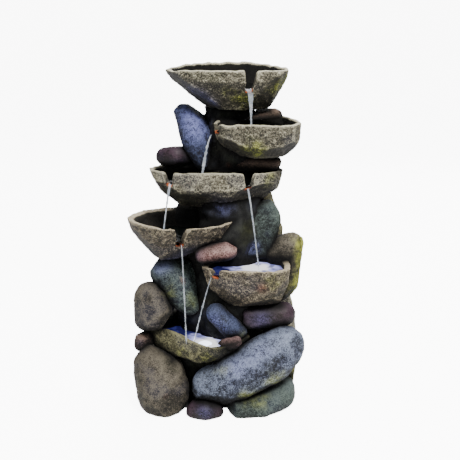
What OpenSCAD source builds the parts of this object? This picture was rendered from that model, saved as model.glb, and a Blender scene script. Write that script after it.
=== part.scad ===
// Tabletop water fountain: cast stone bowls and boulders bonded round a hollow core column,
// with a submersible pump in the base, a riser tube to the top bowl and two small lights.
// Millimetres. +Z is up, -Y faces the viewer, +X is to the right.
// The origin is on the table, at the centre of the footprint.

/* [Overall] */
// Overall width, over the lowest boulders and the left bowl
fountain_w = 206; // [172:1:247]
// Overall depth, front boulder to back slabs
fountain_d = 144; // [120:1:173]
// Overall height, to the rim of the top bowl
fountain_h = 396; // [330:1:475]

/* [Castings] */
// Wall of a bowl
bowl_wall = 5; // [4:0.5:7]
// Thickness of a bowl under its hollow
bowl_floor = 9; // [7:0.5:12]
// Adhesive bed between two castings
mortar = 0.3; // [0.2:0.05:0.5]
// Wall of the hollow core column
core_wall = 3; // [2.5:0.25:4]
// Radius of the column under the top bowl
core_top_r = 24; // [22:0.5:29]
// Radius of the column where it leaves the base box
core_foot_r = 44; // [38:0.5:50]

/* [Spouts] */
// Width of a spout at the rim
spout_w = 14; // [10:0.5:17]
// Width of a spout at its lip
spout_lip_w = 8; // [6:0.5:10]

/* [Base] */
// Thickness of the base plate
plate_t = 2; // [1.5:0.25:3]
// Thickness of the rubber pads
pad_t = 1.5; // [1:0.25:2.5]
// Radius of the rubber pads
pad_r = 9; // [7:0.5:11]
// Gap between the boulders and the table
skirt_gap = 1; // [0.5:0.25:1.5]
// Wall of the reservoir tub
tub_wall = 2.5; // [2:0.25:3.5]
// Room in the tub round the pump
tub_room = 9; // [7:0.5:14]
// Head room over the tub
tub_head = 9.5; // [8:0.5:14]

/* [Pump] */
// Length of the motor block
motor_l = 34; // [30:1:41]
// Width and height of the motor block
motor_w = 32; // [30:1:39]
// Radius of the rotor magnet
rotor_r = 6.5; // [5.5:0.25:8]
// Radius of the impeller
impeller_r = 10; // [8:0.25:11.5]
// Radius of the ceramic shaft
shaft_r = 1.25; // [1:0.05:1.5]
// Running clearance on the shaft and the dial stem
run_gap = 0.05; // [0.02:0.01:0.1]
// Height of the suction cups
cup_h = 5; // [4:0.5:7]

/* [Riser] */
// Inner radius of the riser tube
tube_r = 5.5; // [5:0.1:6.7]
// Wall of the riser tube
tube_wall = 2; // [1.5:0.25:2.5]

/* [Lights] */
// Radius of a light
light_r = 10; // [8.5:0.25:12]
// Height of a light housing
light_h = 6; // [5:0.25:7.5]
// Radius of the low-voltage leads
lead_r = 1.5; // [1.25:0.25:2]

/* [Access] */
// Width of the rear cover
cover_w = 60; // [52:1:66]
// Height of the rear cover
cover_h = 78; // [66:1:86]
// Thickness of the rear cover
cover_t = 4; // [3.5:0.25:5]
// Radius of the cover screws
screw_r = 1.45; // [1.25:0.05:1.75]
// Radius of the power inlet thread
jack_r = 4; // [3.5:0.25:5]

/* [Hidden] */
$fn = 64;

// The castings are laid out at these sizes and follow the overall sizes from there.
drawn_w = 206;
drawn_d = 144;
drawn_h = 396;
kx = fountain_w / drawn_w;
ky = fountain_d / drawn_d;
kz = fountain_h / drawn_h;
function place(p) = [p[0] * kx, p[1] * ky, p[2] * kz];

// Bowls: name, colour, outline and height of rim, belly and foot, then the spouts, each with
// its place, the way it points and its drop below the rim.
BOWLS = [
    ["top_bowl", "#6f7066",
        396, [[-53, -20], [-45, -36], [-10, -40], [40, -41], [72, -38], [81, -28], [80, -4],
            [66, 30], [40, 58], [10, 62], [-24, 48], [-46, 16]],
        384, [[-54, -18], [-44, -34], [-8, -38], [42, -39], [70, -36], [79, -26], [77, -2],
            [62, 30], [38, 56], [8, 60], [-26, 46], [-46, 16]],
        350, [[-9, -10], [6, -18], [48, -18], [62, -6], [56, 14], [40, 44], [8, 46], [-9, 26]],
        [[39, -38, -90, 20]]],
    ["upper_bowl", "#77776a",
        339, [[-3, -34], [10, -43], [50, -46], [88, -44], [96, -34], [92, -6], [80, 26],
            [56, 44], [20, 48], [6, 22]],
        313, [[4, -26], [18, -38], [60, -42], [88, -38], [94, -28], [90, 0], [74, 24],
            [40, 38], [14, 24]],
        298, [[26, -20], [52, -26], [76, -20], [76, 6], [56, 28], [28, 26]],
        [[0, -32, -160, 11]]],
    ["middle_bowl", "#77766c",
        282, [[-76, 4], [-74, -8], [-60, -18], [-44, -24], [0, -28], [40, -27], [58, -25],
            [74, -14], [77, -4], [72, 20], [50, 34], [-20, 36], [-62, 26]],
        262, [[-70, 0], [-66, -12], [-46, -22], [-8, -28], [40, -27], [70, -14], [74, 0], [66, 18],
            [-60, 20]],
        237, [[-42, -6], [-16, -14], [18, -14], [44, -8], [44, 16], [0, 28], [-40, 20]],
        [[-51, -20, -110, 12], [37, -26, -85, 14]]],
    ["left_bowl", "#5f6262",
        225, [[-103, 2], [-98, -16], [-82, -34], [-56, -50], [-34, -52], [-8, -44], [16, -34],
            [28, -10], [26, 20], [0, 42], [-40, 50], [-72, 44], [-94, 28]],
        205, [[-98, 0], [-88, -22], [-62, -42], [-34, -44], [-10, -36], [8, -24], [2, 16],
            [-72, 26]],
        180, [[-72, -8], [-64, -24], [-50, -30], [-43, -20], [-42, 6], [-60, 14]],
        [[-37, -50, -85, 15]]],
    ["right_bowl", "#6c6a5b",
        177, [[-16, -36], [-2, -48], [20, -54], [52, -57], [76, -54], [84, -46], [86, -26],
            [82, 0], [40, 10], [6, 0], [-12, -16]],
        150, [[-7, -34], [12, -46], [50, -51], [76, -47], [83, -34], [76, 0], [4, -8]],
        127, [[14, -34], [36, -40], [58, -38], [74, -28], [66, -6], [20, -6]],
        [[0, -46, -125, 13]]],
    ["basin", "#5c5a50",
        90, [[-85, 8], [-86, 0], [-66, -18], [-42, -38], [-20, -56], [-2, -68], [8, -66],
            [26, -52], [40, -34], [36, 4], [0, 18], [-30, 28], [-70, 24]],
        80, [[-84, 4], [-66, -22], [-42, -42], [-18, -60], [0, -66], [26, -46], [30, 0], [-60, 20]],
        65, [[-70, -14], [-50, -36], [-34, -50], [-14, -56], [4, -46], [20, -26], [16, 4],
            [-54, 14]],
        []]];
NAME = 0;
COLOUR = 1;
RIM_Z = 2;
RIM = 3;
BELLY_Z = 4;
BELLY = 5;
FOOT_Z = 6;
FOOT = 7;
SPOUTS = 8;

// Boulders: name, colour, and the balls [x, y, z, radius] that their skin is stretched over.
// A ball stretches with the overall sizes, so that boulders that touch go on touching.
STONES = [
    ["boulder_left", "#4f5254",
        [[-62, -38, 22, 30], [-79, -26, 34, 17], [-80, -22, 56, 15], [-56, -36, 46, 18],
            [-60, -50, 12, 16], [-66, 0, 28, 22]]],
    ["boulder_long", "#5d6063",
        [[-4, -42, 30, 23], [34, -44, 50, 28], [62, -40, 62, 26], [80, -38, 79, 23],
            [36, -22, 46, 24], [72, -14, 72, 18]]],
    ["boulder_low_right", "#53565a",
        [[76, -36, 16, 17], [54, -48, 9, 17], [24, -53, 6, 13], [83, -24, 22, 9], [66, 2, 18, 20]]],
    ["pebble_front", "#5a4d49",
        [[-12, -58, 6, 12], [-23, -56, 5, 10], [-1, -56, 5, 9], [-12, -34, 8, 10]]],
    ["boulder_side_right", "#56584a",
        [[84, -4, 36, 11], [80, 0, 16, 13], [80, 24, 40, 12], [74, 30, 14, 16]]],
    ["block_left", "#5a4a40",
        [[-88, -18, 80, 6], [-89, -18, 71, 6], [-78, -2, 76, 8]]],
    ["pebble_basin", "#8a7a72",
        [[9, -56, 89, 5], [24, -52, 91, 5], [18, -46, 86, 6]]],
    ["stone_diagonal", "#4b5157",
        [[1, -34, 119, 10], [19, -36, 100, 11], [27, -34, 95, 9], [12, -16, 106, 10]]],
    ["slab_purple", "#5b5360",
        [[41, -28, 110, 11], [79, -22, 113, 13], [60, -8, 104, 13]]],
    ["boulder_mid_left", "#54554e",
        [[-77, -14, 131, 17], [-72, -16, 112, 19], [-82, -12, 103, 13], [-62, 8, 118, 15]]],
    ["stone_blue", "#4a5560",
        [[-58, -4, 160, 18], [-38, -8, 127, 14], [-30, -8, 117, 9], [-40, 14, 150, 17]]],
    ["slab_side_right", "#62644a",
        [[86, 4, 193, 14], [93, 4, 196, 10], [69, -1, 179, 9], [83, -2, 170, 14],
            [86, 0, 142, 10], [81, 2, 128, 6], [64, 22, 170, 14]]],
    ["stone_tall_right", "#5e5f50",
        [[57, 8, 232, 12], [65, 8, 221, 11], [41, 6, 217, 15], [29, 3, 197, 14],
            [34, 3, 185, 13], [56, 6, 183, 11], [46, 20, 205, 18]]],
    ["pebble_pink", "#8d7a76",
        [[-12, -28, 188, 9], [14, -26, 192, 10], [4, -14, 190, 9]]],
    ["slab_brown", "#6e5648",
        [[15, 0, 286, 6], [69, -6, 288, 6], [68, 22, 286, 6], [16, 24, 286, 6]]],
    ["stone_dark_mid", "#3c4440",
        [[0, 4, 304, 9], [-2, 2, 284, 10], [4, 14, 295, 9]]],
    ["pebble_red", "#6a5656",
        [[-57, 4, 295, 9], [-33, 6, 296, 9], [-44, -2, 297, 9], [-20, 18, 294, 9]]],
    ["stone_dark_ledge", "#3d4041",
        [[-52, 12, 282, 7], [-24, 10, 282, 8], [-16, 22, 282, 8]]],
    ["slab_upper_left", "#596069",
        [[-35, 8, 346, 10], [-27, 3, 333, 13], [-21, -1, 315, 15], [-14, -3, 289, 7],
            [-12, 18, 320, 14]]],
    ["stone_neck", "#46494b",
        [[2, 8, 341, 8], [40, 4, 341, 8], [14, 22, 340, 14]]],
    ["pebble_top_right", "#6b5b55",
        [[68, 8, 341, 7], [42, -4, 337, 5], [52, 20, 338, 8]]],
    ["back_slab_top", "#55585a",
        [[-10, 46, 322, 15], [36, 48, 330, 14], [42, 50, 286, 16], [-16, 48, 282, 16]]],
    ["back_slab_left", "#505355",
        [[-20, 46, 246, 18], [2, 52, 240, 16], [-34, 40, 196, 22], [-22, 44, 152, 20]]],
    ["back_slab_right", "#565850",
        [[46, 48, 244, 18], [28, 54, 236, 14], [58, 42, 194, 22], [54, 42, 152, 20]]],
    ["back_boulder_left", "#4d5052",
        [[-62, 32, 34, 27], [-56, 48, 15, 21], [-66, 24, 14, 20], [-56, 50, 84, 18], [-68, 26, 90, 19]]],
    ["back_boulder_right", "#525452",
        [[78, 30, 66, 20], [70, 50, 15, 21], [76, 34, 14, 18], [66, 52, 98, 18], [76, 34, 120, 15]]],
    ["back_sill", "#4f5051",
        [[-22, 60, 9, 12], [50, 60, 9, 12], [44, 60, 38, 12], [-10, 60, 38, 12]]]];
BALLS = 2;

function row(table, name) = table[search([name], table, 1, NAME)[0]];
function rank(name) = search([name], STONES, 1, NAME)[0];

// The core: a base box that holds the tub, a tower behind it for the cover, and a cone.
riser_x = 16;
riser_y = 24;
plate_top = pad_t + plate_t;
pump_z = plate_top + tub_wall + cup_h + motor_w / 2;
pump_top = pump_z + motor_w / 2;
motor_front = riser_x - 8;
motor_back = motor_front - motor_l;
cover_l = 16;
cover_front = motor_front + cover_l;
grille_l = 7;
dial_l = 5;
lead_bend = 8;
tub_x = [motor_back - tub_room - lead_bend, cover_front + grille_l + dial_l + tub_room + 4];
tub_y = [riser_y - motor_w / 2 - tub_room, riser_y + motor_w / 2 + tub_room];
tub_gap = 0.5;
inlet_bay = 9;
box_x = [tub_x[0] - tub_wall - tub_gap - core_wall, tub_x[1] + tub_wall + tub_gap + core_wall];
box_y = [tub_y[0] - tub_wall - tub_gap - core_wall, tub_y[1] + tub_wall + inlet_bay + core_wall];
basin_skin = 4;
box_top = row(BOWLS, "basin")[FOOT_Z] * kz + bowl_floor - basin_skin;
tub_h = box_top - core_wall - tub_head - plate_top;
cone_top = row(BOWLS, "top_bowl")[FOOT_Z] * kz;
back_y = box_y[1];

// Rear cover and its window
cover_z = box_top - 16;
cover_mid = cover_z + cover_h / 2;
tower_top = cover_z + cover_h + 18;
window_margin = 10;
screw_inset = 5;
head_r = 2 * screw_r;
head_h = 1.8;
cover_gap = 0.6;

// Power inlet, in the left of the back wall
jack_x = box_x[0] + 15;
jack_z = plate_top + 36;
flange_t = 2;
junction_w = 16;
junction_z = [jack_z - 7, jack_z + 20];
lead_y = back_y - core_wall - 4.5;

// Lights stand on the floor of the right bowl and of the basin.
bowl_light_at = [46 * kx, -22 * ky, row(BOWLS, "right_bowl")[FOOT_Z] * kz + bowl_floor];
basin_light_at = [-12 * kx, -36 * ky, row(BOWLS, "basin")[FOOT_Z] * kz + bowl_floor];
light_gap = 0.3;
lens_r = light_r - 1.5;
lens_curve = 14;
lens_seat = 3;
lens_base = 1.5;
tail_h = light_h / 2;

// Top nozzle
nozzle_bore = tube_r - 1.5;
barrel_r = tube_r + 1.5;
flange_r = barrel_r + 4;
tail_l = 14;
nozzle_nut_h = 5;
nozzle_z = cone_top + bowl_floor;
ball_facets = 16;

module block(lo, hi) translate(lo) cube(hi - lo);
module outline(points, z, inset = 0)
    translate([0, 0, z]) linear_extrude(0.01) offset(delta = -inset)
        polygon([for (p = points) [p[0] * kx, p[1] * ky]]);
module rounded_bar(length, width, height, round)
    rotate([0, 90, 0]) linear_extrude(length) hull() for (y = [-1, 1], z = [-1, 1])
        translate([z * (height / 2 - round), y * (width / 2 - round)]) circle(round, $fn = 32);
module tube(r_out, r_in, h) difference() {
    cylinder(h = h, r = r_out);
    translate([0, 0, -1]) cylinder(h = h + 2, r = r_in);
}

// The solid shape of a bowl before it is hollowed out
module bowl_shape(b, grow = 0) hull() {
    outline(b[RIM], b[RIM_Z] * kz + grow, -grow);
    outline(b[BELLY], b[BELLY_Z] * kz, -grow);
    outline(b[FOOT], b[FOOT_Z] * kz - grow, -grow);
}
module bowl_hollow(b) {
    above = 1;
    hull() {
        outline(b[RIM], b[RIM_Z] * kz + above, bowl_wall);
        outline(b[BELLY], max(b[BELLY_Z] * kz, b[FOOT_Z] * kz + bowl_floor + above), bowl_wall + 1);
        outline(b[FOOT], b[FOOT_Z] * kz + bowl_floor, bowl_wall);
    }
}
// A spout tapers from the rim down to its lip and runs out through the wall.
module spout(s, rim_z) {
    reach = 3.2 * bowl_wall;
    sheet = 0.1;
    translate([s[0] * kx, s[1] * ky, rim_z]) rotate([0, 0, s[2]]) hull() {
        translate([-reach, -spout_w / 2, 1]) cube([2 * reach, spout_w, sheet]);
        translate([-reach, -spout_lip_w / 2, -s[3]]) cube([2 * reach, spout_lip_w, sheet]);
    }
}
module bowl(name) {
    b = row(BOWLS, name);
    color(b[COLOUR]) difference() {
        bowl_shape(b);
        bowl_hollow(b);
        for (s = b[SPOUTS]) spout(s, b[RIM_Z] * kz);
        core_seat();
        children();
    }
}

// Boulders: each is cut to seat on the core, on the bowls and on the boulders set before it.
function low(i, axis) = min([for (b = STONES[i][BALLS]) b[axis] - b[3]]);
function high(i, axis) = max([for (b = STONES[i][BALLS]) b[axis] + b[3]]);
function ring_low(b, axis) = min([for (p = concat(b[RIM], b[BELLY], b[FOOT])) p[axis]]);
function ring_high(b, axis) = max([for (p = concat(b[RIM], b[BELLY], b[FOOT])) p[axis]]);
function stones_meet(i, j) =
    min([for (a = [0:2]) min(high(i, a) - low(j, a), high(j, a) - low(i, a))]) > 0;
function bowl_meets(i, b) = min(high(i, 2) - b[FOOT_Z], b[RIM_Z] - low(i, 2),
    min([for (a = [0:1]) min(high(i, a) - ring_low(b, a), ring_high(b, a) - low(i, a))])) > 0;
module skin(i, grow = 0) hull()
    for (b = STONES[i][BALLS]) translate(place(b))
        scale([kx, ky, kz] + [1, 1, 1] * grow / b[3]) sphere(b[3], $fn = ball_facets);
module boulder(name) {
    i = rank(name);
    color(STONES[i][COLOUR]) difference() {
        skin(i);
        for (j = [0:1:i - 1]) if (stones_meet(i, j)) skin(j, mortar);
        for (b = BOWLS) if (bowl_meets(i, b)) bowl_shape(b, mortar);
        core_seat();
        plate_shape(mortar);
        cover_way();
        jack_way();
        translate([0, 0, skirt_gap - fountain_h]) linear_extrude(fountain_h)
            square(2 * max(fountain_w, fountain_d), center = true);
    }
}

// Core column
function cone_r(z) = core_foot_r + (core_top_r - core_foot_r) * (z - box_top) / (cone_top - box_top);
module clip_core(back, right) intersection() {
    children();
    block([-fountain_w, -fountain_d, 0], [right, back, fountain_h]);
}
module core_cone(foot_r, top_r, top)
    translate([riser_x, riser_y, box_top]) cylinder(h = top - box_top, r1 = foot_r, r2 = top_r);
module core_boxes(grow) {
    block([box_x[0] - grow, box_y[0] - grow, plate_top], [box_x[1] + grow, box_y[1] + grow, box_top + grow]);
    block([riser_x - cover_w / 2 - grow, riser_y, plate_top],
        [riser_x + cover_w / 2 + grow, back_y + grow, tower_top + grow]);
}
module core_shape() {
    core_boxes(0);
    clip_core(back_y, box_x[1]) core_cone(core_foot_r, core_top_r, cone_top);
}
// What a casting loses so that it beds on the core: the cone is a many-sided one, just outside it.
module core_seat() {
    sides = 48;
    core_boxes(mortar);
    clip_core(back_y + mortar, box_x[1] + mortar) hull()
        for (end = [[core_foot_r, box_top], [core_top_r, cone_top]]) translate([riser_x, riser_y, end[1]])
            linear_extrude(0.01) circle((end[0] + mortar) / cos(180 / sides), $fn = sides);
}
module core_inside() {
    w = core_wall;
    step = 0.5;
    block([box_x[0] + w, box_y[0] + w, 0], [box_x[1] - w, box_y[1] - w, box_top - w]);
    block([riser_x - cover_w / 2 + w, riser_y - 1, plate_top],
        [riser_x + cover_w / 2 - w, back_y - w, tower_top - w]);
    clip_core(back_y - w - step, box_x[1] - w - step) translate([0, 0, -w - 1])
        core_cone(core_foot_r - w, core_top_r - w, cone_top + w + 2);
}
screw_x = [-1, 1] * (cover_w / 2 - screw_inset);
screw_z = [-1, 1] * (cover_h / 2 - screw_inset);
module screw_spots() for (x = screw_x, z = screw_z)
    translate([riser_x + x, back_y, cover_mid + z]) rotate([-90, 0, 0]) children();
module core_column() color("#3b3c3c") difference() {
    core_shape();
    core_inside();
    block([riser_x - cover_w / 2 + window_margin, back_y - core_wall - 1, cover_z + window_margin],
        [riser_x + cover_w / 2 - window_margin, back_y + 1, cover_z + cover_h - window_margin]);
    screw_spots() translate([0, 0, -core_wall - 1]) cylinder(h = core_wall + 2, r = screw_r + run_gap);
    translate([jack_x, back_y, jack_z]) rotate([90, 0, 0]) translate([0, 0, -1])
        cylinder(h = core_wall + 2, r = jack_r + run_gap);
    for (at = [bowl_light_at, basin_light_at]) lead_bore(at);
    drains();
}
module lead_bore(at) translate([at[0], at[1] + light_r - 1, at[2] + tail_h]) rotate([-90, 0, 0])
    cylinder(h = riser_y - 10 - at[1] - light_r + 1, r = lead_r + mortar);
drain_r = 2;
drain_pitch = 7;
module drains() for (i = [0:2])
    translate([tub_x[0] + 2 * drain_r + drain_pitch * i, tub_y[0] + drain_r + 0.5, box_top - core_wall - 1])
        cylinder(h = core_wall + bowl_floor + 2, r = drain_r);

// Base
module plate_outline() polygon([[-64 * kx, -34 * ky], [-56 * kx, -42 * ky], [58 * kx, -42 * ky],
    [66 * kx, -34 * ky], [66 * kx, box_y[1] - 8], [58 * kx, box_y[1] + 1], [-56 * kx, box_y[1] + 1],
    [-64 * kx, box_y[1] - 8]]);
module plate_shape(grow = 0) linear_extrude(plate_top + grow) offset(delta = grow) plate_outline();
module base_plate() color("#2d2e2f") translate([0, 0, pad_t]) linear_extrude(plate_t) plate_outline();
module foot_pads() color("#1d1d1e") for (x = [-53 * kx, 55 * kx], y = [-31 * ky, box_y[1] - 10])
    translate([x, y, 0]) cylinder(h = pad_t, r = pad_r);
module reservoir_tub() {
    round = 8;
    lo = [tub_x[0] - tub_wall, tub_y[0] - tub_wall];
    hi = [tub_x[1] + tub_wall, tub_y[1] + tub_wall];
    color("#34373a") difference() {
        translate([0, 0, plate_top]) linear_extrude(tub_h) tub_outline(lo, hi, round);
        translate([0, 0, plate_top + tub_wall]) linear_extrude(tub_h)
            tub_outline(lo + [tub_wall, tub_wall], hi - [tub_wall, tub_wall], round - tub_wall);
    }
}
module tub_outline(lo, hi, round) hull()
    for (x = [lo[0] + round, hi[0] - round], y = [lo[1] + round, hi[1] - round])
        translate([x, y]) circle(round, $fn = 32);

// Rear access
module cover_way() block([riser_x - cover_w / 2 - cover_gap, back_y, cover_z - cover_gap],
    [riser_x + cover_w / 2 + cover_gap, fountain_d, cover_z + cover_h + cover_gap]);
module jack_way() translate([jack_x, back_y, jack_z]) rotate([-90, 0, 0])
    cylinder(h = fountain_d, r = jack_r + 5);
module rear_cover() color("#4a4c4b") difference() {
    lip = window_margin + cover_gap;
    union() {
        block([riser_x - cover_w / 2, back_y, cover_z],
            [riser_x + cover_w / 2, back_y + cover_t, cover_z + cover_h]);
        block([riser_x - cover_w / 2 + lip, back_y - core_wall, cover_z + lip],
            [riser_x + cover_w / 2 - lip, back_y, cover_z + cover_h - lip]);
    }
    block([riser_x - cover_w / 2 + lip + 2, back_y - core_wall - 1, cover_z + lip + 2],
        [riser_x + cover_w / 2 - lip - 2, back_y, cover_z + cover_h - lip - 2]);
    screw_spots() {
        translate([0, 0, -1]) cylinder(h = cover_t + 2, r = screw_r + 0.2);
        translate([0, 0, cover_t - head_h]) cylinder(h = head_h + 1, r = head_r + 0.3);
    }
}
module cover_screws() color("#8f9294") screw_spots() difference() {
    union() {
        translate([0, 0, -core_wall - 2]) cylinder(h = core_wall + 2 + cover_t - head_h, r = screw_r);
        translate([0, 0, cover_t - head_h]) cylinder(h = head_h, r = head_r);
    }
    translate([0, 0, cover_t - 1]) cylinder(h = 2, r = screw_r * 0.9, $fn = 6);
}
module power_jack() color("#1b1b1c") translate([jack_x, back_y, jack_z]) rotate([-90, 0, 0]) {
    difference() {
        union() {
            translate([0, 0, -core_wall]) cylinder(h = core_wall + flange_t, r = jack_r);
            cylinder(h = flange_t, r = jack_r + 2.5);
        }
        translate([0, 0, -core_wall + 0.8]) cylinder(h = core_wall + flange_t, r = jack_r - 1.25);
    }
    translate([0, 0, -core_wall + 0.8]) cylinder(h = core_wall + flange_t - 1.6, r = 1);
}
module junction_block() color("#28292a")
    block([jack_x - junction_w / 2, back_y - core_wall - inlet_bay + tub_gap, junction_z[0]],
        [jack_x + junction_w / 2, back_y - core_wall, junction_z[1]]);

// Pump: all its pieces are laid out along the rotor's axis, which runs along X.
module on_axis(x) translate([x, riser_y, pump_z]) rotate([0, 90, 0]) children();
chamber_r = impeller_r + 2;
chamber_l = 12;
well_l = motor_l - 8;
socket_l = 4;
seal_r = chamber_r + 1.3;
seal_w = 1.4;
seal_h = 1.2;
inlet_r = 5;
hub_r = shaft_r + 1.4;
spigot_h = 15;
module pump_body() color("#222425") difference() {
    translate([motor_back, riser_y, pump_z]) rounded_bar(motor_l, motor_w, motor_w, 4);
    on_axis(motor_front - well_l) cylinder(h = well_l + 1, r = rotor_r + 1);
    on_axis(motor_front - well_l - socket_l) cylinder(h = socket_l + 1, r = shaft_r);
    on_axis(motor_front - seal_h) tube(seal_r + seal_w + 0.1, seal_r - 0.1, seal_h + 1);
}
module pump_seal() color("#101010") on_axis(motor_front - seal_h) difference() {
    cylinder(h = seal_h, r = seal_r + seal_w);
    translate([0, 0, -1]) cylinder(h = seal_h + 2, r = seal_r);
}
module pump_shaft() color("#e8e6e0") on_axis(motor_front - well_l - socket_l)
    cylinder(h = well_l + socket_l + chamber_l + 2, r = shaft_r);
module pump_rotor() color("#3a4d6b") difference() {
    union() {
        on_axis(motor_front - well_l + 1) cylinder(h = well_l - 3, r = rotor_r);
        on_axis(motor_front - 3) cylinder(h = 6, r = rotor_r - 3);
        on_axis(motor_front + 1.5) cylinder(h = 1.5, r = impeller_r);
        for (i = [0:5]) on_axis(motor_front + 2.5) rotate([0, 0, 60 * i])
            translate([shaft_r + 0.5, -0.6, 0]) cube([impeller_r - shaft_r - 1, 1.2, 6.5]);
        on_axis(motor_front + 2.5) cylinder(h = 6.5, r = shaft_r + 1);
    }
    on_axis(motor_front - well_l) cylinder(h = well_l + chamber_l, r = shaft_r + run_gap);
}
module volute_cover() color("#2b2e30") {
    difference() {
        union() {
            translate([motor_front, riser_y, pump_z]) rounded_bar(cover_l, motor_w, motor_w, 4);
            translate([riser_x, riser_y, pump_top - 1]) cylinder(h = spigot_h + 1, r = tube_r);
        }
        on_axis(motor_front - 1) cylinder(h = chamber_l + 1, r = chamber_r);
        on_axis(motor_front + chamber_l - 1) cylinder(h = cover_l, r = inlet_r);
        translate([riser_x, riser_y, pump_z]) cylinder(h = motor_w + spigot_h, r = nozzle_bore);
    }
    difference() {
        intersection() {
            on_axis(motor_front + chamber_l) cylinder(h = cover_l - chamber_l, r = inlet_r);
            union() {
                on_axis(motor_front + chamber_l) cylinder(h = cover_l - chamber_l, r = hub_r);
                on_axis(motor_front + chamber_l) translate([-inlet_r, -0.8, 0])
                    cube([2 * inlet_r, 1.6, cover_l - chamber_l]);
            }
        }
        on_axis(motor_front + chamber_l - 1) cylinder(h = 3, r = shaft_r);
    }
}
grille_r = impeller_r + 3.5;
grille_t = 1.5;
stem_r = 2;
dial_gap = 0.3;
module inlet_grille() color("#323638") difference() {
    union() {
        on_axis(cover_front) tube(grille_r, grille_r - grille_t, grille_l);
        on_axis(cover_front + grille_l - grille_t) cylinder(h = grille_t, r = grille_r - grille_t / 2);
        on_axis(cover_front + grille_l - 4) cylinder(h = 4, r = stem_r + 1.5);
    }
    on_axis(cover_front) cylinder(h = grille_l + 1, r = stem_r + run_gap);
    for (i = [0:7]) on_axis(cover_front + grille_l - grille_t - 1) rotate([0, 0, 45 * i])
        translate([stem_r + 2.5, -1, 0]) cube([grille_r - stem_r - 6, 2, grille_t + 2]);
}
module flow_dial() color("#c2512b") {
    difference() {
        on_axis(cover_front + grille_l + dial_gap) cylinder(h = 1.7, r = grille_r - 1);
        for (i = [0:3]) on_axis(cover_front + grille_l - 1) rotate([0, 0, 90 * i + 45])
            translate([(stem_r + grille_r) / 2 + 0.5, 0, 0]) cylinder(h = 5, r = 2.2);
    }
    on_axis(cover_front + grille_l - 4) cylinder(h = 4 + dial_gap, r = stem_r);
    on_axis(cover_front + grille_l + dial_gap + 1.7) translate([-grille_r + 3, -1.5, 0])
        cube([2 * grille_r - 6, 3, dial_l - dial_gap - 1.7]);
}
module pump_feet() color("#19191a") for (x = [motor_back + 6, cover_front - 6], y = [-9, 9])
    translate([x, riser_y + y, plate_top + tub_wall]) cylinder(h = cup_h, r1 = 5.5, r2 = 3);

// Leads are tubes swept along smoothed routes.
function cut_corners(p) = concat([p[0]], [for (i = [0:len(p) - 2]) each
    [p[i] * 0.75 + p[i + 1] * 0.25, p[i] * 0.25 + p[i + 1] * 0.75]], [p[len(p) - 1]]);
function unit(v) = v / norm(v);
function side(t) = unit(cross(t, abs(t[0]) < 0.8 ? [1, 0, 0] : [0, 1, 0]));
module lead(points) {
    sides = 8;
    p = cut_corners(cut_corners(points));
    n = len(p);
    tangent = [for (i = [0:n - 1]) unit(p[min(i + 1, n - 1)] - p[max(i - 1, 0)])];
    frames = [for (i = 0, u = side(tangent[0]); i < n; i = i + 1,
        u = i < n ? unit(u - tangent[i] * (u * tangent[i])) : u) u];
    rings = [for (i = [0:n - 1], k = [0:sides - 1]) p[i] + lead_r
        * (cos(360 * k / sides) * frames[i] + sin(360 * k / sides) * cross(tangent[i], frames[i]))];
    polyhedron(rings, concat([[for (k = [0:sides - 1]) k]],
        [for (i = [0:n - 2], k = [0:sides - 1]) [i * sides + k, (i + 1) * sides + k,
            (i + 1) * sides + (k + 1) % sides, i * sides + (k + 1) % sides]],
        [[for (k = [sides - 1:-1:0]) (n - 1) * sides + k]]));
}
over_tub = box_top - core_wall - 4;
module pump_lead() color("#151516") lead([[motor_back, riser_y, pump_z + 8],
    [motor_back - 7, riser_y, pump_z + 9], [motor_back - 8, riser_y + 4, over_tub - 10],
    [motor_back - 10, riser_y + 14, over_tub + 1], [jack_x - 4, lead_y - 8, over_tub],
    [jack_x - 4, lead_y, over_tub - 1], [jack_x - 4, lead_y, junction_z[1]]]);
module light_lead(at, via, port) color("#1c1c1d") lead(concat(
    [[at[0], at[1] + light_r, at[2] + tail_h], [at[0], riser_y - 18, at[2] + tail_h],
        [at[0], riser_y - 12, at[2] + tail_h]], via,
    [[port, lead_y, over_tub - 1], [port, lead_y, junction_z[1]]]));
module bowl_light_lead() light_lead(bowl_light_at,
    [[bowl_light_at[0] - 6, riser_y + 2, (bowl_light_at[2] + box_top) / 2],
    [riser_x + 24, riser_y + 16, box_top + 2], [riser_x + 10, lead_y - 1, over_tub],
    [jack_x + 14, lead_y, over_tub]], jack_x + 4);
module basin_light_lead() light_lead(basin_light_at, [[basin_light_at[0] - 6, riser_y - 2, box_top],
    [jack_x + 8, riser_y + 16, over_tub], [jack_x, lead_y - 6, over_tub + 0.5]], jack_x);

// Riser and top nozzle
module riser_tube() color("#b9c4c8") translate([riser_x, riser_y, pump_top + 2])
    tube(tube_r + tube_wall, tube_r, cone_top - 9 - pump_top - 2);
module nozzle_hole() translate([riser_x, riser_y, cone_top - 1])
    cylinder(h = bowl_floor + 3, r = barrel_r + 0.1);
module top_nozzle() color("#2c2f31") translate([riser_x, riser_y, 0]) difference() {
    union() {
        translate([0, 0, cone_top - 8 - tail_l]) cylinder(h = tail_l + 1, r = tube_r);
        translate([0, 0, cone_top - 8]) cylinder(h = bowl_floor + 9, r = barrel_r);
        translate([0, 0, nozzle_z]) cylinder(h = 2, r = flange_r);
        translate([0, 0, nozzle_z]) cylinder(h = 7, r = tube_r);
    }
    translate([0, 0, cone_top - 9 - tail_l]) cylinder(h = tail_l + bowl_floor + 30, r = nozzle_bore);
}
module nozzle_nut() color("#2c2f31") translate([riser_x, riser_y, cone_top - nozzle_nut_h]) difference() {
    cylinder(h = nozzle_nut_h, r = flange_r + 1, $fn = 6);
    translate([0, 0, -1]) cylinder(h = nozzle_nut_h + 2, r = barrel_r + 0.05);
}

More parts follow.
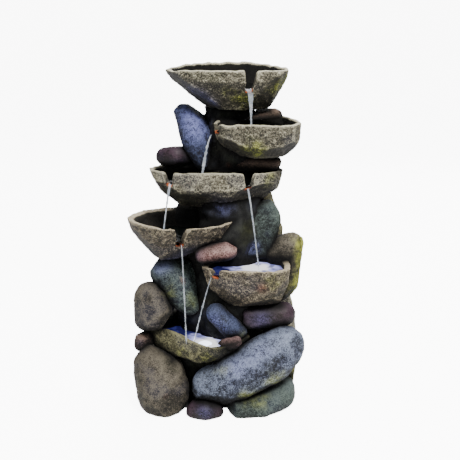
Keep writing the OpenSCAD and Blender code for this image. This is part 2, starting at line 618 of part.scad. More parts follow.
// Lights
module light_pocket(at) translate(at) cylinder(h = light_h + 12, r = light_r + light_gap);
module light_housing(at) color("#3a3d3f") translate(at) difference() {
    cylinder(h = light_h, r = light_r);
    translate([0, 0, lens_seat]) cylinder(h = light_h, r = lens_r + 0.1);
}
module light_lens(at) color("#cfe4ff") translate([at[0], at[1], at[2] + lens_seat]) intersection() {
    cylinder(h = 2 * lens_curve, r = lens_r);
    translate([0, 0, lens_base + light_h - lens_seat - sqrt(pow(lens_curve, 2) - pow(lens_r, 2))])
        sphere(lens_curve);
}
module bowl_light() light_housing(bowl_light_at);
module bowl_light_lens() light_lens(bowl_light_at);
module basin_light() light_housing(basin_light_at);
module basin_light_lens() light_lens(basin_light_at);

// Castings
module top_bowl() bowl("top_bowl") nozzle_hole();
module upper_bowl() bowl("upper_bowl");
module middle_bowl() bowl("middle_bowl");
module left_bowl() bowl("left_bowl");
module right_bowl() bowl("right_bowl") {
    light_pocket(bowl_light_at);
    lead_bore(bowl_light_at);
}
module basin() bowl("basin") {
    light_pocket(basin_light_at);
    lead_bore(basin_light_at);
    drains();
}
module boulder_left() boulder("boulder_left");
module boulder_long() boulder("boulder_long");
module boulder_low_right() boulder("boulder_low_right");
module pebble_front() boulder("pebble_front");
module boulder_side_right() boulder("boulder_side_right");
module block_left() boulder("block_left");
module pebble_basin() boulder("pebble_basin");
module stone_diagonal() boulder("stone_diagonal");
module slab_purple() boulder("slab_purple");
module boulder_mid_left() boulder("boulder_mid_left");
module stone_blue() boulder("stone_blue");
module slab_side_right() boulder("slab_side_right");
module stone_tall_right() boulder("stone_tall_right");
module pebble_pink() boulder("pebble_pink");
module slab_brown() boulder("slab_brown");
module stone_dark_mid() boulder("stone_dark_mid");
module pebble_red() boulder("pebble_red");
module stone_dark_ledge() boulder("stone_dark_ledge");
module slab_upper_left() boulder("slab_upper_left");
module stone_neck() boulder("stone_neck");
module pebble_top_right() boulder("pebble_top_right");
module back_slab_top() boulder("back_slab_top");
module back_slab_left() boulder("back_slab_left");
module back_slab_right() boulder("back_slab_right");
module back_boulder_left() boulder("back_boulder_left");
module back_boulder_right() boulder("back_boulder_right");
module back_sill() boulder("back_sill");

top_bowl();
upper_bowl();
middle_bowl();
left_bowl();
right_bowl();
basin();
boulder_left();
boulder_long();
boulder_low_right();
pebble_front();
boulder_side_right();
block_left();
pebble_basin();
stone_diagonal();
slab_purple();
boulder_mid_left();
stone_blue();
slab_side_right();
stone_tall_right();
pebble_pink();
slab_brown();
stone_dark_mid();
pebble_red();
stone_dark_ledge();
slab_upper_left();
stone_neck();
pebble_top_right();
back_slab_top();
back_slab_left();
back_slab_right();
back_boulder_left();
back_boulder_right();
back_sill();
core_column();
base_plate();
foot_pads();
reservoir_tub();
rear_cover();
cover_screws();
power_jack();
junction_block();
pump_body();
pump_seal();
pump_shaft();
pump_rotor();
volute_cover();
inlet_grille();
flow_dial();
pump_feet();
pump_lead();
riser_tube();
top_nozzle();
nozzle_nut();
bowl_light();
bowl_light_lens();
bowl_light_lead();
basin_light();
basin_light_lens();
basin_light_lead();
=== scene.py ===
"""Tabletop water fountain of cast stone bowls and boulders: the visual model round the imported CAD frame."""
import math
import bmesh
import bpy
import numpy as np
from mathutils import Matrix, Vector


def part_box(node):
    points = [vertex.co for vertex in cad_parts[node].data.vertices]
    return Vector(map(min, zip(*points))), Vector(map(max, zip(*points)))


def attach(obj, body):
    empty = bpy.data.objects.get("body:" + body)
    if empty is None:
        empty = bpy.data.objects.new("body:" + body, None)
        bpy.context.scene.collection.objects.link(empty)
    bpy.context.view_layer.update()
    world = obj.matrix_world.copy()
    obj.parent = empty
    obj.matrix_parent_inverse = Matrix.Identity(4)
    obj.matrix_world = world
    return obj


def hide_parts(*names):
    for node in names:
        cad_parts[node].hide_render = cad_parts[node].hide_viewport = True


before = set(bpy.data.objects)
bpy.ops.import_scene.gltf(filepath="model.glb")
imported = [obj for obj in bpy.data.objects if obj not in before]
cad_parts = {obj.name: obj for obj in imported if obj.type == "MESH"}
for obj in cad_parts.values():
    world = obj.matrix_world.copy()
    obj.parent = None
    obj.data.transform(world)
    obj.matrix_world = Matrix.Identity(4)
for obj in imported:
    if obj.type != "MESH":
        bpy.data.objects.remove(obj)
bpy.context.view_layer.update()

# ---------------- studio
# The fountain stands on a pale table in a white room, seen from a little above its middle.
# Soft boxes light it from the upper right, the left, above and behind; table and room show as white.
camera_data = bpy.data.cameras.new("camera")
camera_data.sensor_width = 36.0
camera_data.lens = 66.7
camera = bpy.data.objects.new("camera", camera_data)
bpy.context.scene.collection.objects.link(camera)
camera.location = (0.017, -0.95, 0.49)
camera_aim = Vector((0.017, 0.0, 0.209))
camera.rotation_euler = (camera_aim - camera.location).to_track_quat("-Z", "Y").to_euler()
bpy.context.scene.camera = camera


def soft_box(name, place, aim, size, power, tint):
    """A square area light at place, turned to aim."""
    light = bpy.data.lights.new(name, "AREA")
    light.shape = "SQUARE"
    light.size = size
    light.energy = power
    light.color = tint
    lamp = bpy.data.objects.new(name, light)
    bpy.context.scene.collection.objects.link(lamp)
    lamp.location = place
    lamp.rotation_euler = (Vector(aim) - Vector(place)).to_track_quat("-Z", "Y").to_euler()


soft_box("key_light", (0.35, -0.8, 1.3), (0, 0, 0.2), 0.3, 31, (1.0, 0.98, 0.95))
soft_box("fill_light", (-1.1, -0.8, 0.6), (0, 0, 0.2), 0.9, 3, (0.92, 0.95, 1.0))
soft_box("top_light", (0.1, 0.1, 1.3), (0, 0, 0.2), 0.6, 9, (1.0, 1.0, 1.0))
soft_box("rear_light", (0.3, 1.2, 0.8), (0, 0, 0.2), 0.9, 12, (1.0, 1.0, 1.0))

world = bpy.data.worlds.new("pale_room")
world.use_nodes = True
room = world.node_tree.nodes["Background"]
room.inputs["Color"].default_value = (1.0, 1.0, 1.0, 1.0)
bpy.context.scene.world = world


def new_material(name):
    """A new material, its node tree and its Principled shader."""
    made = bpy.data.materials.new(name)
    made.use_nodes = True
    return made, made.node_tree, made.node_tree.nodes["Principled BSDF"]


bpy.ops.mesh.primitive_plane_add(size=60.0, location=(0, 0, 0))
table = bpy.context.object
table.name = "table"
table_paint, table_tree, table_bsdf = new_material("table_paint")
table_bsdf.inputs["Base Color"].default_value = (0.92, 0.92, 0.92, 1.0)
table_bsdf.inputs["Roughness"].default_value = 0.6
table_bsdf.inputs["Emission Color"].default_value = (1.0, 1.0, 1.0, 1.0)
# Both are brighter where the camera sees them than in the light that they give.
for tree, socket, lighting, seen in ((table_tree, table_bsdf.inputs["Emission Strength"], 0.0, 9.0),
                                     (world.node_tree, room.inputs["Strength"], 0.28, 9.5)):
    path = tree.nodes.new("ShaderNodeLightPath")
    brightness = tree.nodes.new("ShaderNodeMapRange")
    brightness.inputs["To Min"].default_value = lighting
    brightness.inputs["To Max"].default_value = seen
    tree.links.new(path.outputs["Is Camera Ray"], brightness.inputs["Value"])
    tree.links.new(brightness.outputs["Result"], socket)
table.data.materials.append(table_paint)


# ---------------- boulders and pebbles
# Each boulder is cast in filled resin from a carved master, painted in a dark wash, brushed with
# pale stone colours, and bonded to the core. Its colours also hold painted light: painted shade
# near other stones and on its undersides, and painted highlight on its upward faces. Its skin is
# measured off the flat planes of its CAD solid's convex hull; chips, lumps and pecks are carved
# into that.
MM = 0.001
TAU = 2 * math.pi
LUMP_LENGTH, PECK_LENGTH, GRAIN_LENGTH = 26 * MM, 8 * MM, 2.6 * MM
# How far the painted shade next to other castings reaches.
CREVICE_REACH = 13 * MM
HULL_SWELL = 1.7 * MM
CHIP_SHARES = (0.05, 0.13)
POLE_GAP = 0.006
COVER_ROOM, JACK_ROOM = 1.2 * MM, 9 * MM


def hash_cells(ix, iy, iz, seed):
    """A repeatable number from 0 to 1 for whole-number cells: indices mixed by factors and shifts."""
    h = (ix * 374761393 + iy * 668265263 + iz * 1274126177 + seed * 974634777) & 0xFFFFFFFF
    h = ((h ^ (h >> 13)) * 1103515245) & 0xFFFFFFFF
    h = ((h ^ (h >> 16)) * 668265263) & 0xFFFFFFFF
    return (h ^ (h >> 15)) / 4294967295.0


def value_noise(p, seed):
    """Smooth noise from -1 to 1: the numbers of the eight cells round p, blended by the quintic fade."""
    cell = np.floor(p).astype(np.int64)
    f = p - cell
    w = f * f * f * (f * (f * 6 - 15) + 10)
    total = np.zeros(len(p))
    for dx in (0, 1):
        for dy in (0, 1):
            for dz in (0, 1):
                share = np.abs(1 - np.array([dx, dy, dz]) - w).prod(1)
                total += share * hash_cells(cell[:, 0] + dx, cell[:, 1] + dy, cell[:, 2] + dz, seed)
    return total * 2 - 1


def fractal(p, wave, octaves, seed):
    """A sum of octaves of noise, each half as long as the last and 0.6 as strong."""
    total, strength, norm = np.zeros(len(p)), 1.0, 0.0
    for octave in range(octaves):
        total += strength * value_noise(p / wave * 2 ** octave + 17.3 * octave, seed + octave)
        norm += strength
        strength *= 0.6
    return total / norm


def smooth_step(low, high, x):
    """0 below low, 1 above high, and the cubic 3t^2 - 2t^3 between."""
    t = np.clip((x - low) / (high - low), 0, 1)
    return t * t * (3 - 2 * t)


def hull_planes(node):
    """Outward unit normals and offsets of a CAD node's convex hull, and the hull's corners."""
    corners = np.empty(len(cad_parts[node].data.vertices) * 3)
    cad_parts[node].data.vertices.foreach_get("co", corners)
    corners = np.unique(corners.reshape(-1, 3).round(5), axis=0)
    shell = bmesh.new()
    for corner in corners:
        shell.verts.new(corner)
    spare = bmesh.ops.convex_hull(shell, input=shell.verts)["geom_interior"]
    inner = {v.index for v in spare if isinstance(v, bmesh.types.BMVert)}
    shell.normal_update()
    normals = np.array([f.normal for f in shell.faces])
    middles = np.array([f.calc_center_median() for f in shell.faces])
    areas = np.array([f.calc_area() for f in shell.faces])
    outer = np.array([v.co for v in shell.verts if v.link_faces and v.index not in inner])
    shell.free()
    big = areas > areas.sum() * 1e-5
    return normals[big], (normals * middles).sum(1)[big], outer


CASTINGS = [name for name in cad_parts
            if name.startswith(("boulder_", "pebble_", "block_", "stone_", "slab_", "back_"))
            or name.endswith("_bowl") or name == "basin"]
PLANES = {name: hull_planes(name) for name in CASTINGS}


def closeness(points, own, reach):
    """How strong the painted shade between castings is at each point: exp(-distance / reach) to the nearest
    other casting.
    """
    best = np.zeros(len(points))
    low, high = points.min(0) - 4 * reach, points.max(0) + 4 * reach
    for name, (normals, offsets, outer) in PLANES.items():
        if name == own or np.any(outer.min(0) > high) or np.any(outer.max(0) < low):
            continue
        gap = np.full(len(points), -1.0)
        for normal, offset in zip(normals, offsets):
            gap = np.maximum(gap, points @ normal - offset)
        best = np.maximum(best, np.exp(-np.clip(gap, 0, None) / reach))
    return best


# Moss and rust are sprayed on in spots, and a violet tint is laid on in spots: x, y, z and radius in
# millimetres, strength.
SPRAY = {
    "moss": [
        (30, -28, 362, 12, 1.1), (14, -34, 372, 8, 0.6), (66, -26, 378, 13, 1.0), (80, -20, 386, 9, 0.8),
        (44, -38, 310, 15, 1.0), (64, -24, 277, 10, 0.6), (62, -18, 259, 12, 0.5), (67, -54, 163, 15, 0.6),
        (-53, -18, 141, 12, 0.6), (-31, -14, 128, 11, 0.6), (103, 4, 186, 16, 2.0), (103, 2, 168, 16, 2.2),
        (99, 2, 146, 15, 2.2), (-42, -50, 74, 15, 0.45), (-60, -38, 82, 10, 0.35), (-11, -60, 82, 9, 0.5),
        (-6, -62, 66, 12, 0.6), (28, -62, 83, 10, 0.5), (10, -66, 62, 12, 0.5), (36, -64, 30, 16, 0.7),
        (70, -60, 50, 16, 0.7), (92, -6, 34, 14, 1.0), (30, -42, 96, 8, 0.6), (34, -6, 214, 12, 0.5),
        (57, -62, 22, 12, 0.4), (-30, 60, 200, 20, 0.6), (60, 60, 190, 20, 0.6), (-70, 50, 40, 22, 0.6),
        (70, 62, 90, 20, 0.6), (10, 60, 300, 20, 0.6), (-100, 20, 205, 14, 0.5), (86, 30, 100, 18, 0.7),
        (20, 62, 372, 18, 0.6)],
    "rust": [
        (-41, -22, 174, 7, 0.45), (-37, -22, 164, 7, 0.5), (-34, -20, 154, 7, 0.5), (-44, -28, 258, 4, 0.8),
        (53, -54, 155, 10, 0.45), (76, -40, 160, 6, 0.35), (16, -8, 288, 7, 0.3), (-58, -62, 29, 7, 0.3),
        (33, -50, 141, 6, 0.3)],
    "violet": [
        (-22, -20, 366, 17, 1.3), (-4, -22, 356, 9, 0.8), (-27, -8, 341, 18, 0.8), (-21, -6, 322, 16, 0.8),
        (-40, -28, 178, 14, 0.5), (43, -8, 189, 10, 1.2), (-66, -20, 169, 10, 0.7),
        (-54, -20, 177, 10, 0.6), (0, -40, 113, 11, 0.8), (8, -44, 101, 10, 0.6), (23, -66, 65, 20, 0.5),
        (53, -66, 87, 24, 0.5), (-12, -66, 9, 10, 0.8), (8, -14, 242, 16, 0.6), (-28, -30, 192, 16, 0.6),
        (-89, -30, 77, 8, 0.5), (54, -36, 114, 14, 0.5), (60, -20, 30, 20, 0.4)]}


def sprayed(points, kind):
    """Strength of a sprayed colour: the sum of its spots, each fading as exp(-(distance / radius)^2)."""
    total = np.zeros(len(points))
    for x, y, z, radius, strength in SPRAY[kind]:
        away = ((points / MM - (x, y, z)) ** 2).sum(1)
        total += strength * np.exp(-away / radius ** 2)
    return total


def grid_normals(grid):
    """Unit normals of a grid whose columns wrap round: the cross product of its two central differences."""
    across = np.roll(grid, -1, 1) - np.roll(grid, 1, 1)
    along = np.gradient(grid, axis=0)
    normal = np.cross(across, along)
    return normal / np.maximum(np.linalg.norm(normal, axis=2, keepdims=True), 1e-12)


def relax(grid, passes):
    """Rounds edges: each pass replaces a point by 1-2-1 averages along its row and its column."""
    for _ in range(passes):
        grid = 0.5 * grid + 0.25 * (np.roll(grid, 1, 1) + np.roll(grid, -1, 1))
        inner = 0.5 * grid[1:-1] + 0.25 * (grid[:-2] + grid[2:])
        grid = np.concatenate([grid[:1], inner, grid[-1:]])
    return grid


def carve(grid, own, lumps, pecks, seed, damp=1.0):
    """Carves relief along the normals and works out the masks for the paint and for the painted light and
    shade.

    The relief is lumps x long noise, plus pecks x the noise of pecks and grain, times damp. Ridges
    stand out of a copy whose edges are rounded, measured against that stone's own spread.
    """
    points = grid.reshape(-1, 3)
    wide = fractal(points, LUMP_LENGTH, 2, seed)
    rough = fractal(points, PECK_LENGTH, 3, seed + 10)
    grain = value_noise(points / GRAIN_LENGTH, seed + 20)
    height = (lumps * wide + pecks * (rough + 0.35 * grain)).reshape(grid.shape[:2]) * damp * MM
    grid = grid + grid_normals(grid) * height[..., None]
    normals = grid_normals(grid)
    bulge = ((grid - relax(grid, 24)) * normals).sum(2).ravel()
    low, middle, high = np.percentile(bulge, (16, 50, 84))
    points = grid.reshape(-1, 3)
    masks = {"relief": np.clip(0.5 + 0.55 * rough + 0.25 * grain, 0, 1),
             "crevice_shade": closeness(points, own, CREVICE_REACH),
             "ridge": np.clip(0.5 + 0.55 * (bulge - middle) / (high - low), 0, 1),
             "skyward": 0.5 + 0.5 * normals[..., 2].ravel()}
    for kind in SPRAY:
        masks[kind] = sprayed(points, kind)
    masks["moss"] = masks["moss"] * np.clip(0.75 + 0.8 * rough, 0, 1.4)
    return grid, masks


def grid_mesh(name, grid, masks, looped=False, body="fountain"):
    """A closed mesh on a grid of points [row, column] whose columns wrap.

    The rows wrap too if looped, or a pole closes each end at the mean of its row. Each mask becomes
    a point attribute of the same name.
    """
    rows, columns = grid.shape[:2]
    turn = np.arange(columns)
    steps = rows if looped else rows - 1
    a = np.arange(steps)[:, None] * columns + turn
    b = np.arange(steps)[:, None] * columns + (turn + 1) % columns
    up = rows * columns
    quads = np.stack([a, b, (b + columns) % up, (a + columns) % up], -1).reshape(-1, 4)
    points, corners, sizes = grid.reshape(-1, 3), [quads.ravel()], [np.full(len(quads), 4)]
    if not looped:
        points = np.vstack([points, grid[0].mean(0), grid[-1].mean(0)])
        first = np.stack([np.full(columns, up), (turn + 1) % columns, turn], -1)
        last = up - columns + np.stack([turn, (turn + 1) % columns], -1)
        last = np.hstack([last, np.full((columns, 1), up + 1)])
        corners += [first.ravel(), last.ravel()]
        sizes.append(np.full(2 * columns, 3))
    corners = np.concatenate(corners).astype(np.int32)
    sizes = np.concatenate(sizes).astype(np.int32)
    mesh = bpy.data.meshes.new(name)
    mesh.vertices.add(len(points))
    mesh.vertices.foreach_set("co", points.astype(np.float32).ravel())
    mesh.loops.add(len(corners))
    mesh.loops.foreach_set("vertex_index", corners)
    mesh.polygons.add(len(sizes))
    mesh.polygons.foreach_set("loop_start", (np.cumsum(sizes) - sizes).astype(np.int32))
    mesh.update(calc_edges=True)
    mesh.polygons.foreach_set("use_smooth", np.ones(len(sizes), bool))
    for key, mask in masks.items():
        mask = mask.reshape(rows, columns)
        ends = [] if looped else [mask[0].mean(), mask[-1].mean()]
        layer = mesh.attributes.new(key, "FLOAT", "POINT")
        layer.data.foreach_set("value", np.concatenate([mask.ravel(), ends]).astype(np.float32))
    piece = bpy.data.objects.new(name, mesh)
    bpy.context.scene.collection.objects.link(piece)
    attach(piece, body)
    return piece


def paint(code):
    """A linear colour from a hexadecimal sRGB code, by the sRGB curve."""
    parts = [int(code[i:i + 2], 16) / 255 for i in (1, 3, 5)]
    return tuple(p / 12.92 if p < 0.04045 else ((p + 0.055) / 1.055) ** 2.4 for p in parts) + (1.0,)


def add(tree, kind, inputs=(), **settings):
    """A shader node: settings are its properties, inputs its sockets, linked, or set to a value or colour."""
    made = tree.nodes.new("ShaderNode" + kind)
    for key, value in settings.items():
        setattr(made, key, value)
    for key, value in dict(inputs).items():
        if isinstance(value, bpy.types.NodeSocket):
            tree.links.new(value, made.inputs[key])
        else:
            made.inputs[key].default_value = paint(value) if isinstance(value, str) else value
    return made


def scaled(tree, value, factor, plus=0.0):
    """Value x factor + plus."""
    return add(tree, "Math", {0: value, 1: factor, 2: plus}, operation="MULTIPLY_ADD").outputs[0]


def mixed(tree, share, a, b):
    """Colour a turned to colour b by share."""
    return add(tree, "Mix", {0: share, 6: a, 7: b}, data_type="RGBA").outputs[2]


def window(tree, value, low, high):
    """0 where value is below low, 1 above high, smooth between; low may be the greater."""
    return add(tree, "MapRange", {0: value, 1: low, 2: high}, interpolation_type="SMOOTHSTEP").outputs[0]


def turned(tree, a, b, value, low, high, share=1.0):
    """Colour a turned to colour b by up to share, as value goes from low to high."""
    return mixed(tree, scaled(tree, window(tree, value, low, high), share), a, b)


def noise(tree, place, scale, detail=3.0, roughness=0.6):
    """Noise from 0 to 1 at a scale in cells to the metre."""
    made = add(tree, "TexNoise", {"Vector": place, "Scale": scale, "Detail": detail, "Roughness": roughness})
    return made.outputs[0]


def new_group(name, inputs, outputs):
    """An empty shader node group and its two ends; inputs and outputs are kinds of socket by name."""
    tree = bpy.data.node_groups.new(name, "ShaderNodeTree")
    for side, sockets in (("INPUT", inputs), ("OUTPUT", outputs)):
        for label, kind in sockets.items():
            tree.interface.new_socket(label, in_out=side, socket_type="NodeSocket" + kind)
    return tree, tree.nodes.new("NodeGroupInput").outputs, tree.nodes.new("NodeGroupOutput").inputs


COAT = {"Color": "Color", "Roughness": "Float", "Height": "Float"}
# What makes a spot pale: the share of each mask or noise, and where it starts. The skyward share
# makes upward faces paler as painted highlight and downward ones darker as painted shade; the
# others give dry-brush on the grain and ridges.
TONE_START = -2.09
TONE_SHARES = {"relief": 0.1, "mottle": 0.12, "grain": 3.6, "ridge": 0.5, "skyward": 0.8}
SHADOW_BLACK = "#030303"


def stone_paint_group():
    """A dark ground, darker in its hollows, painted shade near other castings and underneath, pale colour and
    painted highlight on the grain and upward faces, then moss, rust and violet in spots.
    """
    tree, given, out = new_group("stone_paint", {
        "Ground": "Color", "Pale_brush_and_highlight": "Color", "Wash_and_shade": "Color", "Pale_share": "Float", "Polish": "Float",
        "Uncarved": "Float"}, COAT)
    place = add(tree, "TexCoord").outputs["Object"]
    masks = {key: add(tree, "Attribute", attribute_name=key).outputs["Fac"]
             for key in ("relief", "crevice_shade", "ridge", "skyward", "moss", "rust", "violet")}
    for key in ("relief", "ridge", "skyward"):
        masks[key] = scaled(tree, given["Uncarved"], 0.5, masks[key])
    patch = noise(tree, place, 28.0)
    tint = noise(tree, place, 21.0, 2.0)
    masks["mottle"] = mottle = noise(tree, place, 130.0, 4.0, 0.65)
    masks["grain"] = grain = noise(tree, place, 880.0, 3.0, 0.85)
    pits = add(tree, "TexVoronoi", {"Vector": place, "Scale": 430.0}).outputs["Distance"]
    pit = window(tree, pits, 0.42, 0.12)
    tone = TONE_START
    for key, share in TONE_SHARES.items():
        tone = scaled(tree, masks[key], share, tone)
    # Downward faces: darkened and kept free of pale colour, as painted shade.
    under = window(tree, masks["skyward"], 0.42, 0.08)
    ground = turned(tree, given["Ground"], given["Wash_and_shade"], patch, 0.35, 0.65, 0.3)
    ground = turned(tree, ground, "#1a1e38", tint, 0.52, 0.64, 0.5)
    ground = turned(tree, ground, "#26290f", tint, 0.48, 0.36, 0.5)
    ground = mixed(tree, scaled(tree, under, 0.85), ground, given["Wash_and_shade"])
    # Low tone turns the colour dark: painted shade on downward faces, and dark grain.
    colour = turned(tree, ground, given["Wash_and_shade"], tone, 0.4, 0.0, 0.75)
    # Moss, violet and rust are paler where tone is high, so they carry the painted highlight on upward faces
    # too.
    mossy = turned(tree, "#232a05", "#949a2a", tone, 0.15, 0.8)
    moss = window(tree, scaled(tree, mottle, 0.3, masks["moss"]), 0.25, 1.15)
    colour = mixed(tree, scaled(tree, moss, 0.85), colour, mossy)
    violet_tinted = turned(tree, "#141630", "#6f74b8", tone, 0.3, 0.8)
    violet = scaled(tree, window(tree, masks["violet"], 0.0, 1.2), 0.65)
    colour = mixed(tree, violet, colour, violet_tinted)
    # The pale colour goes where tone is high: dry-brush on the grain and ridges, and painted highlight on
    # upward faces.
    pale_brush_and_highlight = scaled(tree, window(tree, tone, 0.3, 1.1), given["Pale_share"])
    pale_brush_and_highlight = scaled(tree, pale_brush_and_highlight, scaled(tree, under, -0.7, 1.0))
    pale = mixed(tree, scaled(tree, moss, 0.6), given["Pale_brush_and_highlight"], "#b9bb52")
    pale = mixed(tree, scaled(tree, violet, 0.7), pale, "#8489c8")
    colour = mixed(tree, pale_brush_and_highlight, colour, pale)
    rusty = turned(tree, "#4a1a06", "#c8622a", tone, 0.3, 0.8)
    colour = turned(tree, colour, rusty, masks["rust"], 0.12, 0.9, 0.92)
    colour = mixed(tree, scaled(tree, pit, 0.3), colour, given["Wash_and_shade"])
    # Painted shade: near black where another casting comes close, inside the bowls and in the spout throats.
    colour = turned(tree, colour, SHADOW_BLACK, masks["crevice_shade"], 0.12, 0.9, 0.98)
    tree.links.new(colour, out["Color"])
    gloss = scaled(tree, grain, 0.3, scaled(tree, masks["crevice_shade"], 0.5, 0.45))
    tree.links.new(scaled(tree, given["Polish"], -0.3, gloss), out["Roughness"])
    height = scaled(tree, grain, 0.8, scaled(tree, mottle, 0.7))
    tree.links.new(scaled(tree, pit, -0.35, height), out["Height"])
    return tree


STONE_PAINT = stone_paint_group()


def coated_material(name, group, values, bump, depth):
    """A material whose colour, roughness and bump, depth deep, come from a group set to values."""
    made, tree, bsdf = new_material(name)
    coat = add(tree, "Group", values, node_tree=group).outputs
    tree.links.new(coat["Color"], bsdf.inputs["Base Color"])
    tree.links.new(coat["Roughness"], bsdf.inputs["Roughness"])
    grain = add(tree, "Bump", {"Strength": bump, "Distance": depth, "Height": coat["Height"]})
    tree.links.new(grain.outputs["Normal"], bsdf.inputs["Normal"])
    return made, bsdf


def stone_material(name, ground, pale_brush_and_highlight, wash_and_shade, pale_share, polish=0.0, bump=0.8, uncarved=0.0):
    """Painted cast stone in one set of colours."""
    made, bsdf = coated_material(name, STONE_PAINT, {
        "Ground": ground, "Pale_brush_and_highlight": pale_brush_and_highlight, "Wash_and_shade": wash_and_shade, "Pale_share": pale_share,
        "Polish": polish, "Uncarved": uncarved}, bump, 0.7 * MM)
    bsdf.inputs["Specular IOR Level"].default_value = 0.3
    return made


# Each finish: slot, ground, pale colour for dry-brush and painted highlight, dark colour for wash and painted
# shade, pale share, polish and bump.
PAINTS = {
    "grey": ("cast_stone_grey", "#2c2b27", "#9f9d91", "#0b0b0a", 0.65),
    "warm": ("cast_stone_warm", "#3f3b2d", "#d0cab0", "#0d0c08", 0.8),
    "tan": ("cast_stone_warm", "#3d362a", "#c9bb9f", "#0d0a07", 0.78),
    "umber": ("cast_stone_grey", "#2b2720", "#857d6d", "#0b0a08", 0.62),
    "blue": ("cast_stone_blue", "#1a1f36", "#68749c", "#06070c", 0.6),
    "slate": ("cast_stone_grey", "#252935", "#98a4be", "#0a0b0e", 0.68),
    "moor": ("cast_stone_grey", "#1f2725", "#74837d", "#080a09", 0.6),
    "olive": ("cast_stone_warm", "#2e2d1a", "#a8a37c", "#0a0a05", 0.65),
    # The dark finish is near black: painted shade for the stones set deep in the gaps and for the core's
    # facing.
    "dark": ("cast_stone_dark", "#0c0d0c", "#3c3f3b", "#030303", 0.35),
    "brown": ("cast_pebble_red", "#291a15", "#a88e7d", "#080403", 0.6),
    "plum": ("cast_pebble_red", "#1c1117", "#6a5263", "#060304", 0.4, 0.8, 0.3),
    "pink": ("cast_pebble_pink", "#5c3433", "#cfaaa3", "#160807", 0.65, 0.4, 0.4)}
FINISHES = {key: (slot, stone_material(key + ("_pebble" if key in ("plum", "pink") else "_stone"), *how))
            for key, (slot, *how) in PAINTS.items()}

# Each boulder: finish, rows and columns of its grid, chips knocked off, lumps and pecks in millimetres.
BOULDERS = {
    "boulder_left": ("umber", 130, 170, 6, 1.2, 0.7), "boulder_long": ("slate", 170, 190, 5, 1.3, 0.8),
    "boulder_low_right": ("moor", 130, 150, 6, 1.2, 0.8), "pebble_front": ("plum", 90, 120, 0, 0.6, 0.35),
    "boulder_side_right": ("olive", 100, 130, 5, 1.0, 0.8), "block_left": ("brown", 70, 90, 5, 0.7, 0.7),
    "pebble_basin": ("pink", 80, 90, 8, 0.7, 0.8), "stone_diagonal": ("blue", 110, 120, 3, 0.8, 0.6),
    "slab_purple": ("plum", 110, 120, 5, 0.8, 0.7), "boulder_mid_left": ("umber", 120, 140, 8, 1.0, 0.8),
    "stone_blue": ("moor", 140, 140, 7, 1.2, 0.8), "slab_side_right": ("umber", 130, 140, 9, 0.8, 0.8),
    "stone_tall_right": ("moor", 140, 150, 9, 1.0, 0.8), "pebble_pink": ("pink", 100, 110, 2, 0.6, 0.5),
    "slab_brown": ("brown", 110, 120, 6, 0.8, 0.7), "stone_dark_mid": ("dark", 90, 100, 6, 1.0, 0.8),
    "pebble_red": ("plum", 100, 110, 0, 0.7, 0.35), "stone_dark_ledge": ("dark", 90, 100, 6, 1.0, 0.8),
    "slab_upper_left": ("blue", 140, 140, 9, 0.9, 0.8), "stone_neck": ("dark", 100, 120, 8, 1.0, 0.8),
    "pebble_top_right": ("brown", 90, 100, 4, 0.7, 0.5), "back_slab_top": ("slate", 110, 140, 8, 1.2, 0.8),
    "back_slab_left": ("grey", 120, 140, 9, 1.2, 0.8), "back_slab_right": ("olive", 120, 140, 9, 1.2, 0.8),
    "back_boulder_left": ("grey", 120, 150, 6, 1.3, 0.8),
    "back_boulder_right": ("warm", 120, 150, 6, 1.3, 0.8), "back_sill": ("slate", 100, 130, 6, 1.0, 0.8)}


def even_ways(rng, count):
    """Unit directions spread evenly at random: normal deviates divided by their length."""
    ways = rng.normal(size=(count, 3))
    return ways / np.linalg.norm(ways, axis=1)[:, None]


def chips(normals, offsets, middle, count, seed):
    """Planes that knock flat chips off a convex shape, each a small share inside its furthest point."""
    rng = np.random.default_rng(seed)
    ways = even_ways(rng, count)
    probe = even_ways(rng, 4000)
    skin = probe / ((probe @ normals.T) / (offsets - normals @ middle)).max(1)[:, None]
    return ways, (skin @ ways.T).max(0) * (1 - rng.uniform(*CHIP_SHARES, count))


def box_of(node):
    """The lowest and the highest corner of a CAD node."""
    return [np.array(corner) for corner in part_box(node)]


core_low, core_high = box_of("core_column")
cover_low, cover_high = box_of("rear_cover")
jack = sum(box_of("power_jack")) / 2


def keep_clear(grid):
    """Flattens what lies in the way of the rear cover or the power inlet onto the column's back wall."""
    back = core_high[1] - COVER_ROOM
    x, y, z = grid[..., 0], grid[..., 1], grid[..., 2]
    way = ((x > cover_low[0] - COVER_ROOM) & (x < cover_high[0] + COVER_ROOM)
           & (z > cover_low[2] - COVER_ROOM) & (z < cover_high[2] + COVER_ROOM))
    way |= np.hypot(x - jack[0], z - jack[2]) < JACK_ROOM
    grid[..., 1] = np.where(way & (y > back), back, y)
    return grid


